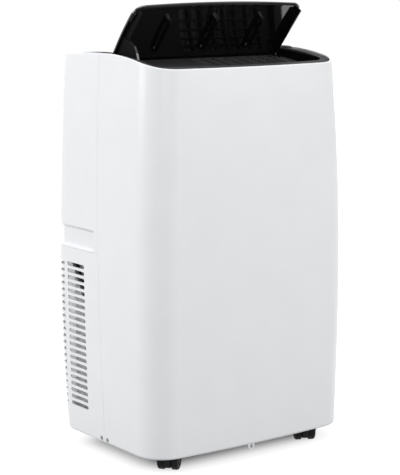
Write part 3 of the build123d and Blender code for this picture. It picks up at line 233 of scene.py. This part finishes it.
rubber = surface(
    "black_rubber", ((0.012, 0.012, 0.012), (0.020, 0.020, 0.019)),
    mottle=6 * MM, roughness=(0.60, 0.78), grain=0.5 * MM, relief=0.03 * MM,
)
button_grey = surface(
    "button_grey", ((0.30, 0.31, 0.32), (0.34, 0.35, 0.36)),
    mottle=5 * MM, roughness=(0.32, 0.42), grain=0.4 * MM, relief=0.01 * MM,
)
lens = surface(
    "window_lens", ((0.006, 0.008, 0.010), (0.009, 0.011, 0.013)),
    mottle=20 * MM, roughness=(0.16, 0.22), grain=1.0 * MM, relief=0.0005 * MM,
    specular=0.3,
)
zinc = surface(
    "galvanised", ((0.50, 0.51, 0.52), (0.64, 0.65, 0.66)),
    mottle=9 * MM, roughness=(0.30, 0.48), grain=2.5 * MM, relief=0.01 * MM,
    metallic=1.0,
)
steel = surface(
    "steel", ((0.46, 0.46, 0.47), (0.58, 0.58, 0.59)),
    mottle=3 * MM, roughness=(0.22, 0.36), grain=0.3 * MM, relief=0.008 * MM,
    metallic=1.0, stretch=(6.0, 1.0, 1.0),
)
screw_steel = surface(
    "screw_steel", ((0.20, 0.20, 0.205), (0.30, 0.30, 0.305)),
    mottle=2 * MM, roughness=(0.30, 0.45), grain=0.3 * MM, relief=0.01 * MM,
    metallic=0.8,
)
fin_metal = surface(
    "aluminium_fin", ((0.93, 0.935, 0.94), (0.96, 0.965, 0.97)),
    mottle=12 * MM, roughness=(0.34, 0.50), grain=1.2 * MM, relief=0.01 * MM,
)
copper = surface(
    "copper", ((0.62, 0.29, 0.17), (0.74, 0.40, 0.26)),
    mottle=15 * MM, roughness=(0.20, 0.38), grain=1.0 * MM, relief=0.006 * MM,
    metallic=1.0,
)
foam = surface(
    "foam_sleeve", ((0.010, 0.010, 0.010), (0.022, 0.022, 0.022)),
    mottle=3 * MM, roughness=(0.85, 0.95), grain=0.8 * MM, relief=0.15 * MM,
)
enamel = surface(
    "black_enamel", ((0.010, 0.010, 0.011), (0.016, 0.016, 0.017)),
    mottle=30 * MM, roughness=(0.18, 0.30), grain=1.8 * MM, relief=0.01 * MM,
    coat=0.3,
)
inner_white = surface(
    "white_inner", ((0.66, 0.66, 0.65), (0.74, 0.74, 0.73)),
    mottle=18 * MM, roughness=(0.50, 0.66), grain=2.0 * MM, relief=0.05 * MM,
)
board_green = surface(
    "circuit_board", ((0.015, 0.10, 0.035), (0.03, 0.17, 0.065)),
    mottle=6 * MM, roughness=(0.30, 0.45), grain=0.8 * MM, relief=0.02 * MM,
)
print_white = surface(
    "panel_print", ((0.62, 0.63, 0.64), (0.70, 0.71, 0.72)),
    mottle=2 * MM, roughness=(0.40, 0.50), grain=0.2 * MM, relief=0.002 * MM,
)
print_dark = surface(
    "button_print", ((0.015, 0.015, 0.016), (0.025, 0.025, 0.027)),
    mottle=2 * MM, roughness=(0.40, 0.50), grain=0.2 * MM, relief=0.002 * MM,
)
digit_glow = glowing(
    "display_digits", ((0.45, 0.78, 0.95), (0.55, 0.86, 1.0)),
    mottle=3 * MM, strength=0.8,
)
lamp_glow = glowing(
    "indicator_lamp", ((0.25, 0.75, 0.35), (0.35, 0.90, 0.45)),
    mottle=1 * MM, strength=0.6,
)
net_grey = surface(
    "filter_net", ((0.05, 0.05, 0.055), (0.09, 0.09, 0.095)),
    mottle=5 * MM, roughness=(0.45, 0.60), grain=0.4 * MM, relief=0.02 * MM,
)
panel_black = surface(
    "panel_satin", ((0.010, 0.010, 0.0105), (0.013, 0.013, 0.0135)),
    mottle=30 * MM, roughness=(0.48, 0.58), grain=0.8 * MM, relief=0.01 * MM,
    specular=0.14,
)

# The lid's outer face, which looks this way while the lid stands open, is satin
lid_back = (0.0, 0.843, 0.537)
lid_back_satin = 0.42
satin_face(gloss_black, lid_back, lid_back_satin)

slot_looks = {
    "white_plastic": white,
    "dark_deck": deck,
    "black_gloss": gloss_black,
    "black_plastic": black,
    "black_rubber": rubber,
    "grey_panel": button_grey,
    "window_lens": lens,
    "galvanised": zinc,
    "steel": steel,
    "aluminium_fin": fin_metal,
    "copper": copper,
    "foam_sleeve": foam,
    "black_enamel": enamel,
    "white_inner": inner_white,
    "circuit_board": board_green,
}


def dress(node, material):
    """Give a CAD node one material all over."""
    mesh = nodes[node].data
    mesh.materials.clear()
    mesh.materials.append(material)


for part in frame["record"]["subparts"]:
    dress(part["node"], slot_looks[part["material_slot"]])
for corner in corners:
    dress(f"caster_housing_{corner}", caster_black)
    for side in "ab":
        dress(f"caster_wheel_{side}_{corner}", wheel_black)
for place in ("left", "centre", "right"):
    dress(f"vane_{place}", vane_black)
dress("outlet_grille", grille_black)
dress("cover_screws", screw_steel)
dress("control_panel", panel_black)
dress("evaporator_fan_wheel", inner_white)


# Mesh helpers

tube_sides = 12


def add_box(form, low, high):
    """A box between two corners."""
    ends = (low, high)
    picks = [(i, j, k) for i in (0, 1) for j in (0, 1) for k in (0, 1)]
    points = [form.verts.new((ends[i][0], ends[j][1], ends[k][2])) for i, j, k in picks]
    for face in ((0, 1, 3, 2), (4, 6, 7, 5), (0, 4, 5, 1), (2, 3, 7, 6), (0, 2, 6, 4), (1, 5, 7, 3)):
        form.faces.new([points[i] for i in face])


def join_rings(form, rings):
    """Walls between each closed ring of points and the next, and a face on the first and the last."""
    count = len(rings[0])
    for first, second in zip(rings, rings[1:]):
        for i in range(count):
            j = (i + 1) % count
            form.faces.new((first[i], first[j], second[j], second[i]))
    form.faces.new(rings[0][::-1])
    form.faces.new(rings[-1])


def add_prism(form, outline, z_at, height):
    """A flat piece with a plan outline, lying on the surface whose height at y is z_at."""
    low = [form.verts.new((x, y, z_at(y))) for x, y in outline]
    high = [form.verts.new((x, y, z_at(y) + height)) for x, y in outline]
    join_rings(form, (low, high))


def add_tube(form, points, radius):
    """A round tube through points, with closed ends."""
    turns = [2 * pi * k / tube_sides for k in range(tube_sides)]
    rings = []
    side = None
    for i, point in enumerate(points):
        ahead = points[min(i + 1, len(points) - 1)] - points[max(i - 1, 0)]
        ahead.normalize()
        if side is None:
            side = ahead.orthogonal().normalized()
        side = (side - ahead * side.dot(ahead)).normalized()
        other = ahead.cross(side)
        rings.append([form.verts.new(point + radius * (cos(t) * side + sin(t) * other)) for t in turns])
    join_rings(form, rings)


def plan_middle(low, high):
    """The middle of a box, seen from above."""
    return ((low.x + high.x) / 2, (low.y + high.y) / 2)


def make_piece(name, form, material, body, smooth=False):
    """Turn a form into an object that rides on a body."""
    bmesh.ops.recalc_face_normals(form, faces=form.faces)
    mesh = bpy.data.meshes.new(name)
    form.to_mesh(mesh)
    form.free()
    for face in mesh.polygons:
        face.use_smooth = smooth
    mesh.materials.append(material)
    piece = bpy.data.objects.new(name, mesh)
    bpy.context.scene.collection.objects.link(piece)
    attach(piece, body)
    return piece


# Heat exchangers: thin fins on copper tubes

fin_pitch = 1.8 * MM
fin_half = 0.22 * MM / 2
tube_radius = 4.0 * MM
tube_rows = 9
tube_depths = (0.28, 0.72)
tube_end = 1 * MM
bend_steps = 8
coil_depth = 24.0 * MM
bend_inner = 6.0 * MM
coil_bend = coil_depth + bend_inner

# The upper coil has no bend, and its tubes turn back outside two end plates
flat_tube_radius = 3.5 * MM
flat_tube_rows = 6
flat_tube_inset = 10 * MM
flat_bend_reach = 8.5 * MM
flat_fin_edge = 2.0 * MM
end_plate_half = 0.7 * MM


def condenser():
    """The lower coil, bent round three sides of the cabinet."""
    low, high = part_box("condenser_coil")
    bend = coil_bend
    fins = bmesh.new()
    back_left = low.x + bend
    back_width = high.x - low.x - 2 * bend
    count = round(back_width / fin_pitch)
    for i in range(count + 1):
        x = back_left + back_width * i / count
        add_box(fins, (x - fin_half, high.y - coil_depth, low.z), (x + fin_half, high.y, high.z))
    leg_back = high.y - bend
    count = round((leg_back - low.y) / fin_pitch)
    for side in (-1, 1):
        for i in range(count + 1):
            y = low.y + fin_half + (leg_back - low.y - fin_half) * i / count
            ends = sorted((side * high.x, side * (high.x - coil_depth)))
            add_box(fins, (ends[0], y - fin_half, low.z), (ends[1], y + fin_half, high.z))
        count_bend = round(bend * pi / 2 / fin_pitch)
        for i in range(1, count_bend):
            turn = pi / 2 * i / count_bend
            out = Vector((side * cos(turn), sin(turn), 0))
            across = Vector((-out.y, out.x, 0)) * fin_half
            centre = Vector((side * (high.x - bend), leg_back, 0))
            ends = ((bend_inner, -1), (bend, -1), (bend, 1), (bend_inner, 1))
            plan = [centre + out * reach + across * way for reach, way in ends]
            add_prism(fins, [(p.x, p.y) for p in plan], lambda y: low.z, high.z - low.z)
    piece = make_piece("condenser_fins", fins, fin_metal, CABINET)
    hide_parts("condenser_coil")

    tubes = bmesh.new()
    row_pitch = (high.z - low.z) / tube_rows
    for row in range(tube_rows):
        z = low.z + row_pitch * (row + 0.5)
        for depth in tube_depths:
            inset = coil_depth * depth
            radius = bend - inset
            route = [Vector((high.x - inset, low.y + tube_end, z))]
            for side, start in ((1, 0), (-1, pi / 2)):
                for i in range(bend_steps + 1):
                    turn = start + pi / 2 * i / bend_steps
                    centre = Vector((side * (high.x - bend), leg_back, z))
                    route.append(centre + Vector((radius * cos(turn), radius * sin(turn), 0)))
            route.append(Vector((-high.x + inset, low.y + tube_end, z)))
            add_tube(tubes, route, tube_radius)
    make_piece("condenser_tubes", tubes, copper, CABINET, smooth=True)


def evaporator():
    """The upper coil, flat behind the filter."""
    low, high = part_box("evaporator_coil")
    fins = bmesh.new()
    left = low.x + flat_bend_reach
    right = high.x - flat_bend_reach
    front = low.y + flat_fin_edge
    back = high.y - flat_fin_edge
    count = round((right - left) / fin_pitch)
    for i in range(count + 1):
        x = left + (right - left) * i / count
        add_box(fins, (x - fin_half, front, low.z), (x + fin_half, back, high.z))
    for x in (left, right):
        add_box(fins, (x - end_plate_half, low.y, low.z), (x + end_plate_half, high.y, high.z))
    piece = make_piece("evaporator_fins", fins, fin_metal, CABINET)
    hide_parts("evaporator_coil")

    tubes = bmesh.new()
    row_pitch = (high.z - low.z) / flat_tube_rows
    arc = row_pitch / 4
    for y in (low.y + flat_tube_inset, high.y - flat_tube_inset):
        for row in range(flat_tube_rows):
            z = low.z + row_pitch * (row + 0.5)
            for side, x in ((-1, left), (1, right)):
                route = []
                for i in range(bend_steps + 1):
                    turn = -pi / 2 + pi * i / bend_steps
                    reach = (flat_bend_reach - tube_radius) * cos(turn)
                    route.append(Vector((x + side * reach, y, z + arc * sin(turn))))
                add_tube(tubes, route, flat_tube_radius)
            for way in (-1, 1):
                run = [Vector((x, y, z + way * arc)) for x in (left, right)]
                add_tube(tubes, run, flat_tube_radius)
    make_piece("evaporator_tubes", tubes, copper, CABINET, smooth=True)


condenser()
evaporator()


# Sheets between the lower coil and the cabinet's rear corners, which draw in below the waist

baffle_waist = 300 * MM
baffle_skirt = 27 * MM
baffle_corner = Vector((201.4 * MM, 145.4 * MM))
baffle_draw = Vector((3.0 * MM, 17.2 * MM))
baffle_foot = 8 * MM
baffle_short = 12 * MM
baffle_half_sheet = Vector((0.3 * MM, -0.3 * MM))
baffle_steps = 8


def coil_baffles():
    """Sheets across the gaps between the lower coil's bends and the cabinet's drawn-in rear corners."""
    low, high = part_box("condenser_coil")
    bend = Vector((high.x, high.y)) - Vector((1, 1)) * coil_bend * (1 - sqrt(0.5))
    half = baffle_half_sheet
    height = high.z - low.z - baffle_short
    form = bmesh.new()
    for side in (-1, 1):
        rings = []
        for i in range(baffle_steps + 1):
            z = low.z + baffle_foot + height * i / baffle_steps
            drawn = max(baffle_waist - z, 0) / (baffle_waist - baffle_skirt)
            outer = baffle_corner - baffle_draw * drawn**2
            plan = (bend - half, outer - half, outer + half, bend + half)
            rings.append([form.verts.new((side * point.x, point.y, z)) for point in plan])
        join_rings(form, rings)
    make_piece("coil_baffles", form, fin_metal, CABINET)


coil_baffles()


# Filter net: fine strands held in the filter frame

net_pitch = 3.0 * MM
net_edge = 2.0 * MM
strand = 0.5 * MM


def filter_net():
    """Upright strands in front of level ones, inside the frame's edge."""
    low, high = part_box("filter_frame")
    middle = (low.y + high.y) / 2
    left, right = low.x + net_edge, high.x - net_edge
    foot, top = low.z + net_edge, high.z - net_edge
    width = high.x - low.x - 2 * net_edge
    height = high.z - low.z - 2 * net_edge
    net = bmesh.new()
    for i in range(1, round(width / net_pitch)):
        x = left + i * net_pitch
        add_box(net, (x - strand / 2, middle - strand, foot), (x + strand / 2, middle, top))
    for i in range(1, round(height / net_pitch)):
        z = foot + i * net_pitch
        add_box(net, (left, middle, z - strand / 2), (right, middle + strand, z + strand / 2))
    make_piece("filter_net", net, net_grey, FILTER)


filter_net()


# Painted shade: matt black films that darken the lid's recess wall and the outer faces of the lid's arm
# and side lips

crown_centre = (10.0 * MM, 168.4 * MM)
crown_radius = 535.0 * MM
back_centre_z = -396.6 * MM
back_radius = 1100.0 * MM
hinge = (1.5 * MM, 680.5 * MM)
lid_open = radians(57.5)
lid_under = 5.5 * MM
film = 0.3 * MM
film_edge = 0.4 * MM
recess_half = 181.5 * MM
recess_tip = -125.5 * MM
recess_bow = 7.0 * MM
recess_corner = 22.0 * MM
recess_back = 13.0 * MM
recess_rim = 3.0 * MM
recess_floor_z = 686.2 * MM
recess_floor_slope = 0.155
corner_steps = 10
bow_steps = 12
liner_gap = 0.05 * MM
liner_lift = 0.1 * MM
film_gap = 0.02 * MM
lip_x = 172.1 * MM
lip_front = -109.5 * MM
lip_lift = 2.9 * MM
lip_steps = 8
lip_right_back = 14 * MM
arm_x = 174.1 * MM
arm_steps = 12
arm_radius = 58.0 * MM
arm_angles = (radians(-75.0), radians(-20.0))
arm_back = 7.5 * MM
arm_top_y = -51.0 * MM
arm_top_drop = 4.5 * MM


def crown_z(y):
    """Height of the cabinet's top: one arc over the recess and a flatter one behind its highest line."""
    reach = y - crown_centre[0]
    if reach > 0:
        return back_centre_z + sqrt(back_radius**2 - reach**2)
    return crown_centre[1] + sqrt(crown_radius**2 - reach**2)


def floor_z(y):
    """Height of the recess floor's incline."""
    return recess_floor_z + recess_floor_slope * y


def recess_path(inset):
    """Plan points along the recess wall, from its right rear end round the front to its left one."""
    bow = (recess_half**2 + recess_bow**2) / (2 * recess_bow)
    centre = Vector((0, recess_tip + bow))
    corner_x = recess_half - recess_corner
    corner = Vector((corner_x, centre.y - sqrt((bow - recess_corner) ** 2 - corner_x**2)))
    meet = (corner - centre).normalized()
    reach = asin(meet.x)
    spread = pi / 2 - reach
    points = [Vector((recess_half - inset, recess_back))]
    for i in range(corner_steps + 1):
        turn = -spread * i / corner_steps
        points.append(corner + (recess_corner - inset) * Vector((cos(turn), sin(turn))))
    for i in range(1, bow_steps):
        turn = reach * (1 - i / bow_steps)
        points.append(centre + (bow - inset) * Vector((sin(turn), -cos(turn))))
    mirrored = [Vector((-point.x, point.y)) for point in reversed(points)]
    return points + [Vector((0, recess_tip + inset))] + mirrored


def painted_shade_liner():
    """A matt black film of painted shade on the recess wall, from just over its floor to its rim."""
    form = bmesh.new()
    rows = []
    for inset in (liner_gap, film):
        path = recess_path(inset)
        rows.append([form.verts.new((p.x, p.y, floor_z(p.y) + liner_lift)) for p in path])
        rows.append([form.verts.new((p.x, p.y, crown_z(p.y) - recess_rim)) for p in path])
    for first, second in ((0, 1), (1, 3), (3, 2), (2, 0)):
        for i in range(len(rows[0]) - 1):
            form.faces.new((rows[first][i], rows[first][i + 1], rows[second][i + 1], rows[second][i]))
    for end in (0, -1):
        form.faces.new([rows[k][end] for k in (0, 1, 3, 2)])
    make_piece("painted_shade_liner", form, painted_shade_black, CABINET)


def lid_shade_film(name, outline, x, side):
    """A matt black film of painted shade on a side face of the lid, given by an outline in Y and Z with
    the lid closed.
    """
    form = bmesh.new()
    layers = []
    for depth in (0.0, film):
        layer = []
        for y, z in outline:
            reach, rise = y - hinge[0], z - hinge[1]
            swung_y = hinge[0] + reach * cos(lid_open) + rise * sin(lid_open)
            swung_z = hinge[1] - reach * sin(lid_open) + rise * cos(lid_open)
            layer.append(form.verts.new((side * (x + film_gap + depth), swung_y, swung_z)))
        layers.append(layer)
    join_rings(form, layers)
    make_piece(name, form, painted_shade_black, LID)


def lip_outline(back):
    """The outer face of a side lip, from its front end to back."""
    start = lip_front + film_edge
    stations = [start + (back - start) * i / lip_steps for i in range(lip_steps + 1)]
    upper = [(y, crown_z(y) - lid_under) for y in stations]
    return upper + [(y, floor_z(y) + lip_lift) for y in (back, start)]


def arm_outline():
    """The outer face of the drive arm on the left."""
    outline = []
    radius = arm_radius - film_edge
    for i in range(arm_steps + 1):
        angle = arm_angles[0] + (arm_angles[1] - arm_angles[0]) * i / arm_steps
        outline.append((hinge[0] - radius * cos(angle), hinge[1] + radius * sin(angle)))
    back = arm_back - film_edge
    outline.append((arm_top_y, crown_z(arm_top_y) - arm_top_drop - film_edge))
    outline.append((back, crown_z(hinge[0]) - arm_top_drop - film_edge))
    outline.append((back, hinge[1]))
    return outline


painted_shade_liner()
# Painted shade: matt black films that darken the outer faces of the lid's side lips and arm
lid_shade_film("lip_shade_film_left", lip_outline(arm_top_y), lip_x, -1)
lid_shade_film("lip_shade_film_right", lip_outline(hinge[0] - lip_right_back), lip_x, 1)
lid_shade_film("arm_shade_film", arm_outline(), arm_x, -1)


# Raised mouldings over the ends of the lid's hinge

deck_drop = 2.5 * MM
shoulder_x = (186.0 * MM, 199.4 * MM)
shoulder_y = (-10.0 * MM, 92.0 * MM)
shoulder_high = 4.2 * MM
shoulder_fall = 0.017
shoulder_root = 0.4 * MM
shoulder_steps = 28
shoulder_cross = 12
shoulder_end_power = 8
shoulder_end_root = 0.25
shoulder_side_power = 4


def hinge_shoulders():
    """A long rounded moulding on each side of the deck, highest by the hinge and lower to the back."""
    form = bmesh.new()
    centre_x = sum(shoulder_x) / 2
    half_x = (shoulder_x[1] - shoulder_x[0]) / 2
    centre_y = sum(shoulder_y) / 2
    half_y = (shoulder_y[1] - shoulder_y[0]) / 2
    for side in (-1, 1):
        rows = []
        for i in range(shoulder_steps + 1):
            along = -cos(pi * i / shoulder_steps)
            y = centre_y + half_y * along
            end = max(0.0, 1 - along**shoulder_end_power) ** shoulder_end_root
            height = (shoulder_high - shoulder_fall * y) * end + shoulder_root
            foot = crown_z(y) - deck_drop - shoulder_root
            row = []
            for k in range(shoulder_cross + 1):
                across = -cos(pi * k / shoulder_cross)
                x = side * (centre_x + half_x * across)
                rise = sqrt(max(0.0, 1 - across**shoulder_side_power))
                row.append(form.verts.new((x, y, foot + height * rise)))
            rows.append(row)
        for first, second in zip(rows, rows[1:]):
            for k in range(shoulder_cross):
                form.faces.new((first[k], first[k + 1], second[k + 1], second[k]))
            form.faces.new((first[0], second[0], second[-1], first[-1]))
        form.faces.new(rows[0])
        form.faces.new(rows[-1])
    make_piece("hinge_shoulders", form, deck, CABINET, smooth=True)


hinge_shoulders()


# Control panel prints: places and lengths in a sign are shares of its reach, widths of its stroke

print_height = 0.12 * MM
print_layer = 0.2
sign_stroke = 0.9 * MM
sign_reach = 3.6 * MM
ring_steps = 28
power_gap = radians(35)
power_bar_place = 0.6
star_bars = 3
star_stroke = 0.7
blades = 3
blade_place = 0.52
blade_outer = 0.48
blade_inner = 0.02
blade_sweep = (-0.9, 1.6)
blade_steps = 14
bar_length = 1.7


def ring_outline(centre, outer, inner, start, finish, steps):
    """Plan outline of a band between two radii, from one angle to another."""
    turns = [start + (finish - start) * i / steps for i in range(steps + 1)]
    outside = [(centre[0] + outer * cos(t), centre[1] + outer * sin(t)) for t in turns]
    inside = [(centre[0] + inner * cos(t), centre[1] + inner * sin(t)) for t in turns]
    return outside + inside[::-1]


def bar_outline(centre, length, width, turn):
    """Plan outline of a straight bar about its centre."""
    along = Vector((cos(turn), sin(turn))) * (length / 2)
    across = Vector((-sin(turn), cos(turn))) * (width / 2)
    middle = Vector(centre)
    return [tuple(middle + along * a + across * b) for a, b in ((-1, -1), (1, -1), (1, 1), (-1, 1))]


def button_print(name):
    """The generic sign on one button: outlines about the button's centre."""
    low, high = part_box(f"button_{name}")
    centre = plan_middle(low, high)
    stroke = sign_stroke
    reach = sign_reach
    outlines = []
    if name == "power":
        ends = (pi / 2 + power_gap, 5 * pi / 2 - power_gap)
        outlines.append(ring_outline(centre, reach, reach - stroke, *ends, ring_steps))
        bar = (centre[0], centre[1] + power_bar_place * reach)
        outlines.append(bar_outline(bar, reach, stroke, pi / 2))
    elif name == "mode":
        for i in range(star_bars):
            turn = pi / 2 + i * pi / star_bars
            outlines.append(bar_outline(centre, 2 * reach, star_stroke * stroke, turn))
    elif name == "fan":
        for i in range(blades):
            turn = pi / 2 + i * 2 * pi / blades
            away = blade_place * reach
            hub = (centre[0] + away * cos(turn), centre[1] + away * sin(turn))
            radii = (blade_outer * reach, blade_inner * reach)
            ends = (turn + blade_sweep[0], turn + blade_sweep[1])
            outlines.append(ring_outline(hub, *radii, *ends, blade_steps))
    else:
        outlines.append(bar_outline(centre, bar_length * reach, stroke, 0))
        if name == "plus":
            outlines.append(bar_outline(centre, bar_length * reach, stroke, pi / 2))
    return outlines, high.z


def button_prints():
    """A sign on each button, in layers of rising height where its outlines cross."""
    for name in buttons:
        outlines, top = button_print(name)
        form = bmesh.new()
        for i, outline in enumerate(outlines):
            add_prism(form, outline, lambda y: top, print_height * (1 + print_layer * i))
        make_piece(f"print_{name}", form, print_dark, f"button_{name}")


button_prints()


# Display digits and indicator dots, on the panel's curve

panel_radius = 1097.9 * MM
digit_size = (7.5 * MM, 13.5 * MM)
digit_stroke = 1.5 * MM
digit_gap = 0.35 * MM
digit_pitch = 12.0 * MM
segment_spans = {
    "top": ((0, 2), (1, 2)),
    "upper_left": ((0, 1), (0, 2)),
    "upper_right": ((1, 1), (1, 2)),
    "middle": ((0, 1), (1, 1)),
    "lower_left": ((0, 0), (0, 1)),
    "lower_right": ((1, 0), (1, 1)),
    "bottom": ((0, 0), (1, 0)),
}
digit_two = ("top", "upper_right", "middle", "lower_left", "bottom")
digit_four = ("upper_left", "upper_right", "middle", "lower_right")
dot_radius = 1.1 * MM
dot_reach = 13.0 * MM
dot_sides = 20


def panel_z(y):
    """Height of the control panel's face, which runs a little under the cabinet's flatter arc."""
    return back_centre_z + sqrt(panel_radius**2 - (y - crown_centre[0]) ** 2)


def segment_outline(corner, span):
    """Plan outline of one segment of a digit: a bar with pointed ends."""
    wide, high = digit_size
    start, finish = (Vector((corner[0] + i * wide, corner[1] + j * high / 2)) for i, j in span)
    along = (finish - start).normalized()
    across = Vector((-along.y, along.x)) * (digit_stroke / 2)
    start, finish = start + along * digit_gap, finish - along * digit_gap
    inner = (start + along * (digit_stroke / 2), finish - along * (digit_stroke / 2))
    points = (start, inner[0] - across, inner[1] - across, finish, inner[1] + across, inner[0] + across)
    return [tuple(point) for point in points]


def display_digits():
    """A two-digit temperature on the display window."""
    low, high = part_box("display_window")
    middle = plan_middle(low, high)
    form = bmesh.new()
    for place, digit in ((-1, digit_two), (1, digit_four)):
        centre_x = middle[0] + place * digit_pitch / 2
        corner = (centre_x - digit_size[0] / 2, middle[1] - digit_size[1] / 2)
        for segment in digit:
            add_prism(form, segment_outline(corner, segment_spans[segment]), panel_z, print_height)
    make_piece("display_digits", form, digit_glow, CABINET)


def indicator_dots():
    """A dot behind each of the three middle buttons, the first of them lit."""
    turns = [2 * pi * k / dot_sides for k in range(dot_sides)]
    for name, material in (("mode", lamp_glow), ("fan", print_white), ("minus", print_white)):
        low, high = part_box(f"button_{name}")
        x, y = plan_middle(low, high)
        form = bmesh.new()
        outline = [(x + dot_radius * cos(t), y + dot_reach + dot_radius * sin(t)) for t in turns]
        add_prism(form, outline, panel_z, print_height)
        make_piece(f"dot_{name}", form, material, CABINET)


display_digits()
indicator_dots()


# Stage, light and camera

floor_half = 6.0
floor_tone = 0.32

# The floor's painted shadow lies round a foot that is this much smaller than the cabinet
painted_shadow_inset = (86 * MM, 97 * MM)

# Two distances from the foot, and the floor's glow at each: the glow is weak by the foot and strong away
# from it, which paints a shadow under the cabinet that fades out quickly
painted_shadow_near = (0.0, 80 * MM, 0.05, 0.80)
painted_shadow_far = (60 * MM, 300 * MM, 0.0, 0.3)

# The surroundings' strength as a light and as a background
world_light = 0.69
world_seen = 1.0


def combine(tree, operation, first, second, clamp=False):
    """One step of arithmetic on two sockets or numbers."""
    step = tree.nodes.new("ShaderNodeMath")
    step.operation = operation
    step.use_clamp = clamp
    for value, socket in zip((first, second), step.inputs):
        if isinstance(value, (int, float)):
            socket.default_value = value
        else:
            link(tree, value, socket)
    return step.outputs["Value"]


def seen_rays(tree):
    """1 on rays that show a surface to the camera, also by gloss or glass, and 0 on rays of light."""
    rays = tree.nodes.new("ShaderNodeLightPath").outputs
    shown = combine(tree, "ADD", rays["Is Camera Ray"], rays["Is Glossy Ray"], clamp=True)
    return combine(tree, "ADD", shown, rays["Is Transmission Ray"], clamp=True)


def fade(tree, value, start, finish, low, high):
    """Go smoothly from low to high as value goes from start to finish."""
    steps = tree.nodes.new("ShaderNodeMapRange")
    steps.interpolation_type = "SMOOTHSTEP"
    steps.inputs["From Min"].default_value = start
    steps.inputs["From Max"].default_value = finish
    steps.inputs["To Min"].default_value = low
    steps.inputs["To Max"].default_value = high
    link(tree, value, steps.inputs["Value"])
    return steps.outputs["Result"]


def make_floor():
    """A pale floor that keeps the object's shadow and adds a painted shadow: a glow seen by the camera,
    weak by the cabinet's foot and white away from it.
    """
    foot = (cad_box[1].x - painted_shadow_inset[0], cad_box[1].y - painted_shadow_inset[1])
    mesh = bpy.data.meshes.new("floor")
    ends = ((-1, -1), (1, -1), (1, 1), (-1, 1))
    mesh.from_pydata([(i * floor_half, j * floor_half, 0) for i, j in ends], [], [(0, 1, 2, 3)])
    floor = bpy.data.objects.new("floor", mesh)
    bpy.context.scene.collection.objects.link(floor)
    material = bpy.data.materials.new("floor")
    material.use_nodes = True
    tree = material.node_tree
    tree.nodes.clear()
    diffuse = tree.nodes.new("ShaderNodeBsdfDiffuse")
    diffuse.inputs["Color"].default_value = (floor_tone, floor_tone, floor_tone, 1.0)
    glow = tree.nodes.new("ShaderNodeEmission")
    place = tree.nodes.new("ShaderNodeSeparateXYZ")
    link(tree, tree.nodes.new("ShaderNodeTexCoord").outputs["Object"], place.inputs["Vector"])
    squares = []
    for way, reach in zip("XY", foot):
        beyond = combine(tree, "SUBTRACT", combine(tree, "ABSOLUTE", place.outputs[way], 0.0), reach)
        squares.append(combine(tree, "POWER", combine(tree, "MAXIMUM", beyond, 0.0), 2.0))
    distance = combine(tree, "SQRT", combine(tree, "ADD", *squares), 0.0)
    # Painted shadow: the glow seen by the camera is weak near the foot and strong away from it
    near = fade(tree, distance, *painted_shadow_near)
    far = fade(tree, distance, *painted_shadow_far)
    strength = combine(tree, "ADD", near, far)
    link(tree, combine(tree, "MULTIPLY", strength, seen_rays(tree)), glow.inputs["Strength"])
    both = tree.nodes.new("ShaderNodeAddShader")
    link(tree, diffuse.outputs["BSDF"], both.inputs[0])
    link(tree, glow.outputs["Emission"], both.inputs[1])
    output = tree.nodes.new("ShaderNodeOutputMaterial")
    link(tree, both.outputs["Shader"], output.inputs["Surface"])
    mesh.materials.append(material)


def make_world():
    """Plain white surroundings."""
    world = bpy.data.worlds.new("studio")
    bpy.context.scene.world = world
    world.use_nodes = True
    tree = world.node_tree
    background = tree.nodes["Background"]
    background.inputs["Color"].default_value = (1.0, 1.0, 1.0, 1.0)
    strength = fade(tree, seen_rays(tree), 0.0, 1.0, world_light, world_seen)
    link(tree, strength, background.inputs["Strength"])


def look(start, aim):
    """The turn of a lamp or camera at start that points it at aim."""
    return (Vector(aim) - Vector(start)).to_track_quat("-Z", "Y").to_euler()


def make_lamp(name, place, aim, size, power):
    """A large soft lamp."""
    light = bpy.data.lights.new(name, "AREA")
    light.shape = "RECTANGLE"
    light.size, light.size_y = size
    light.energy = power
    lamp = bpy.data.objects.new(name, light)
    lamp.location = place
    lamp.rotation_euler = look(place, aim)
    bpy.context.scene.collection.objects.link(lamp)


def make_camera():
    """The photograph's camera."""
    data = bpy.data.cameras.new("camera")
    data.lens = camera_lens
    data.shift_x, data.shift_y = camera_shift
    camera = bpy.data.objects.new("camera", data)
    camera.location = camera_place
    camera.rotation_euler = look(camera_place, camera_aim)
    bpy.context.scene.collection.objects.link(camera)
    bpy.context.scene.camera = camera


make_floor()
make_world()
make_lamp("left_lamp", place=(-2.6, 1.4, 1.7), aim=(0, 0, 0.45), size=(1.6, 2.0), power=47)
make_lamp("front_lamp", place=(-1.3, -2.6, 1.6), aim=(-0.05, -0.16, 0.45), size=(1.0, 1.0), power=13)
make_lamp("right_lamp", place=(1.6, -2.6, 1.8), aim=(0, 0, 0.45), size=(1.6, 2.0), power=27)
make_lamp("top_lamp", place=(0.0, -0.3, 3.0), aim=(0, 0, 0.5), size=(2.0, 2.0), power=27)
make_camera()
bpy.context.scene.view_settings.view_transform = "Standard"
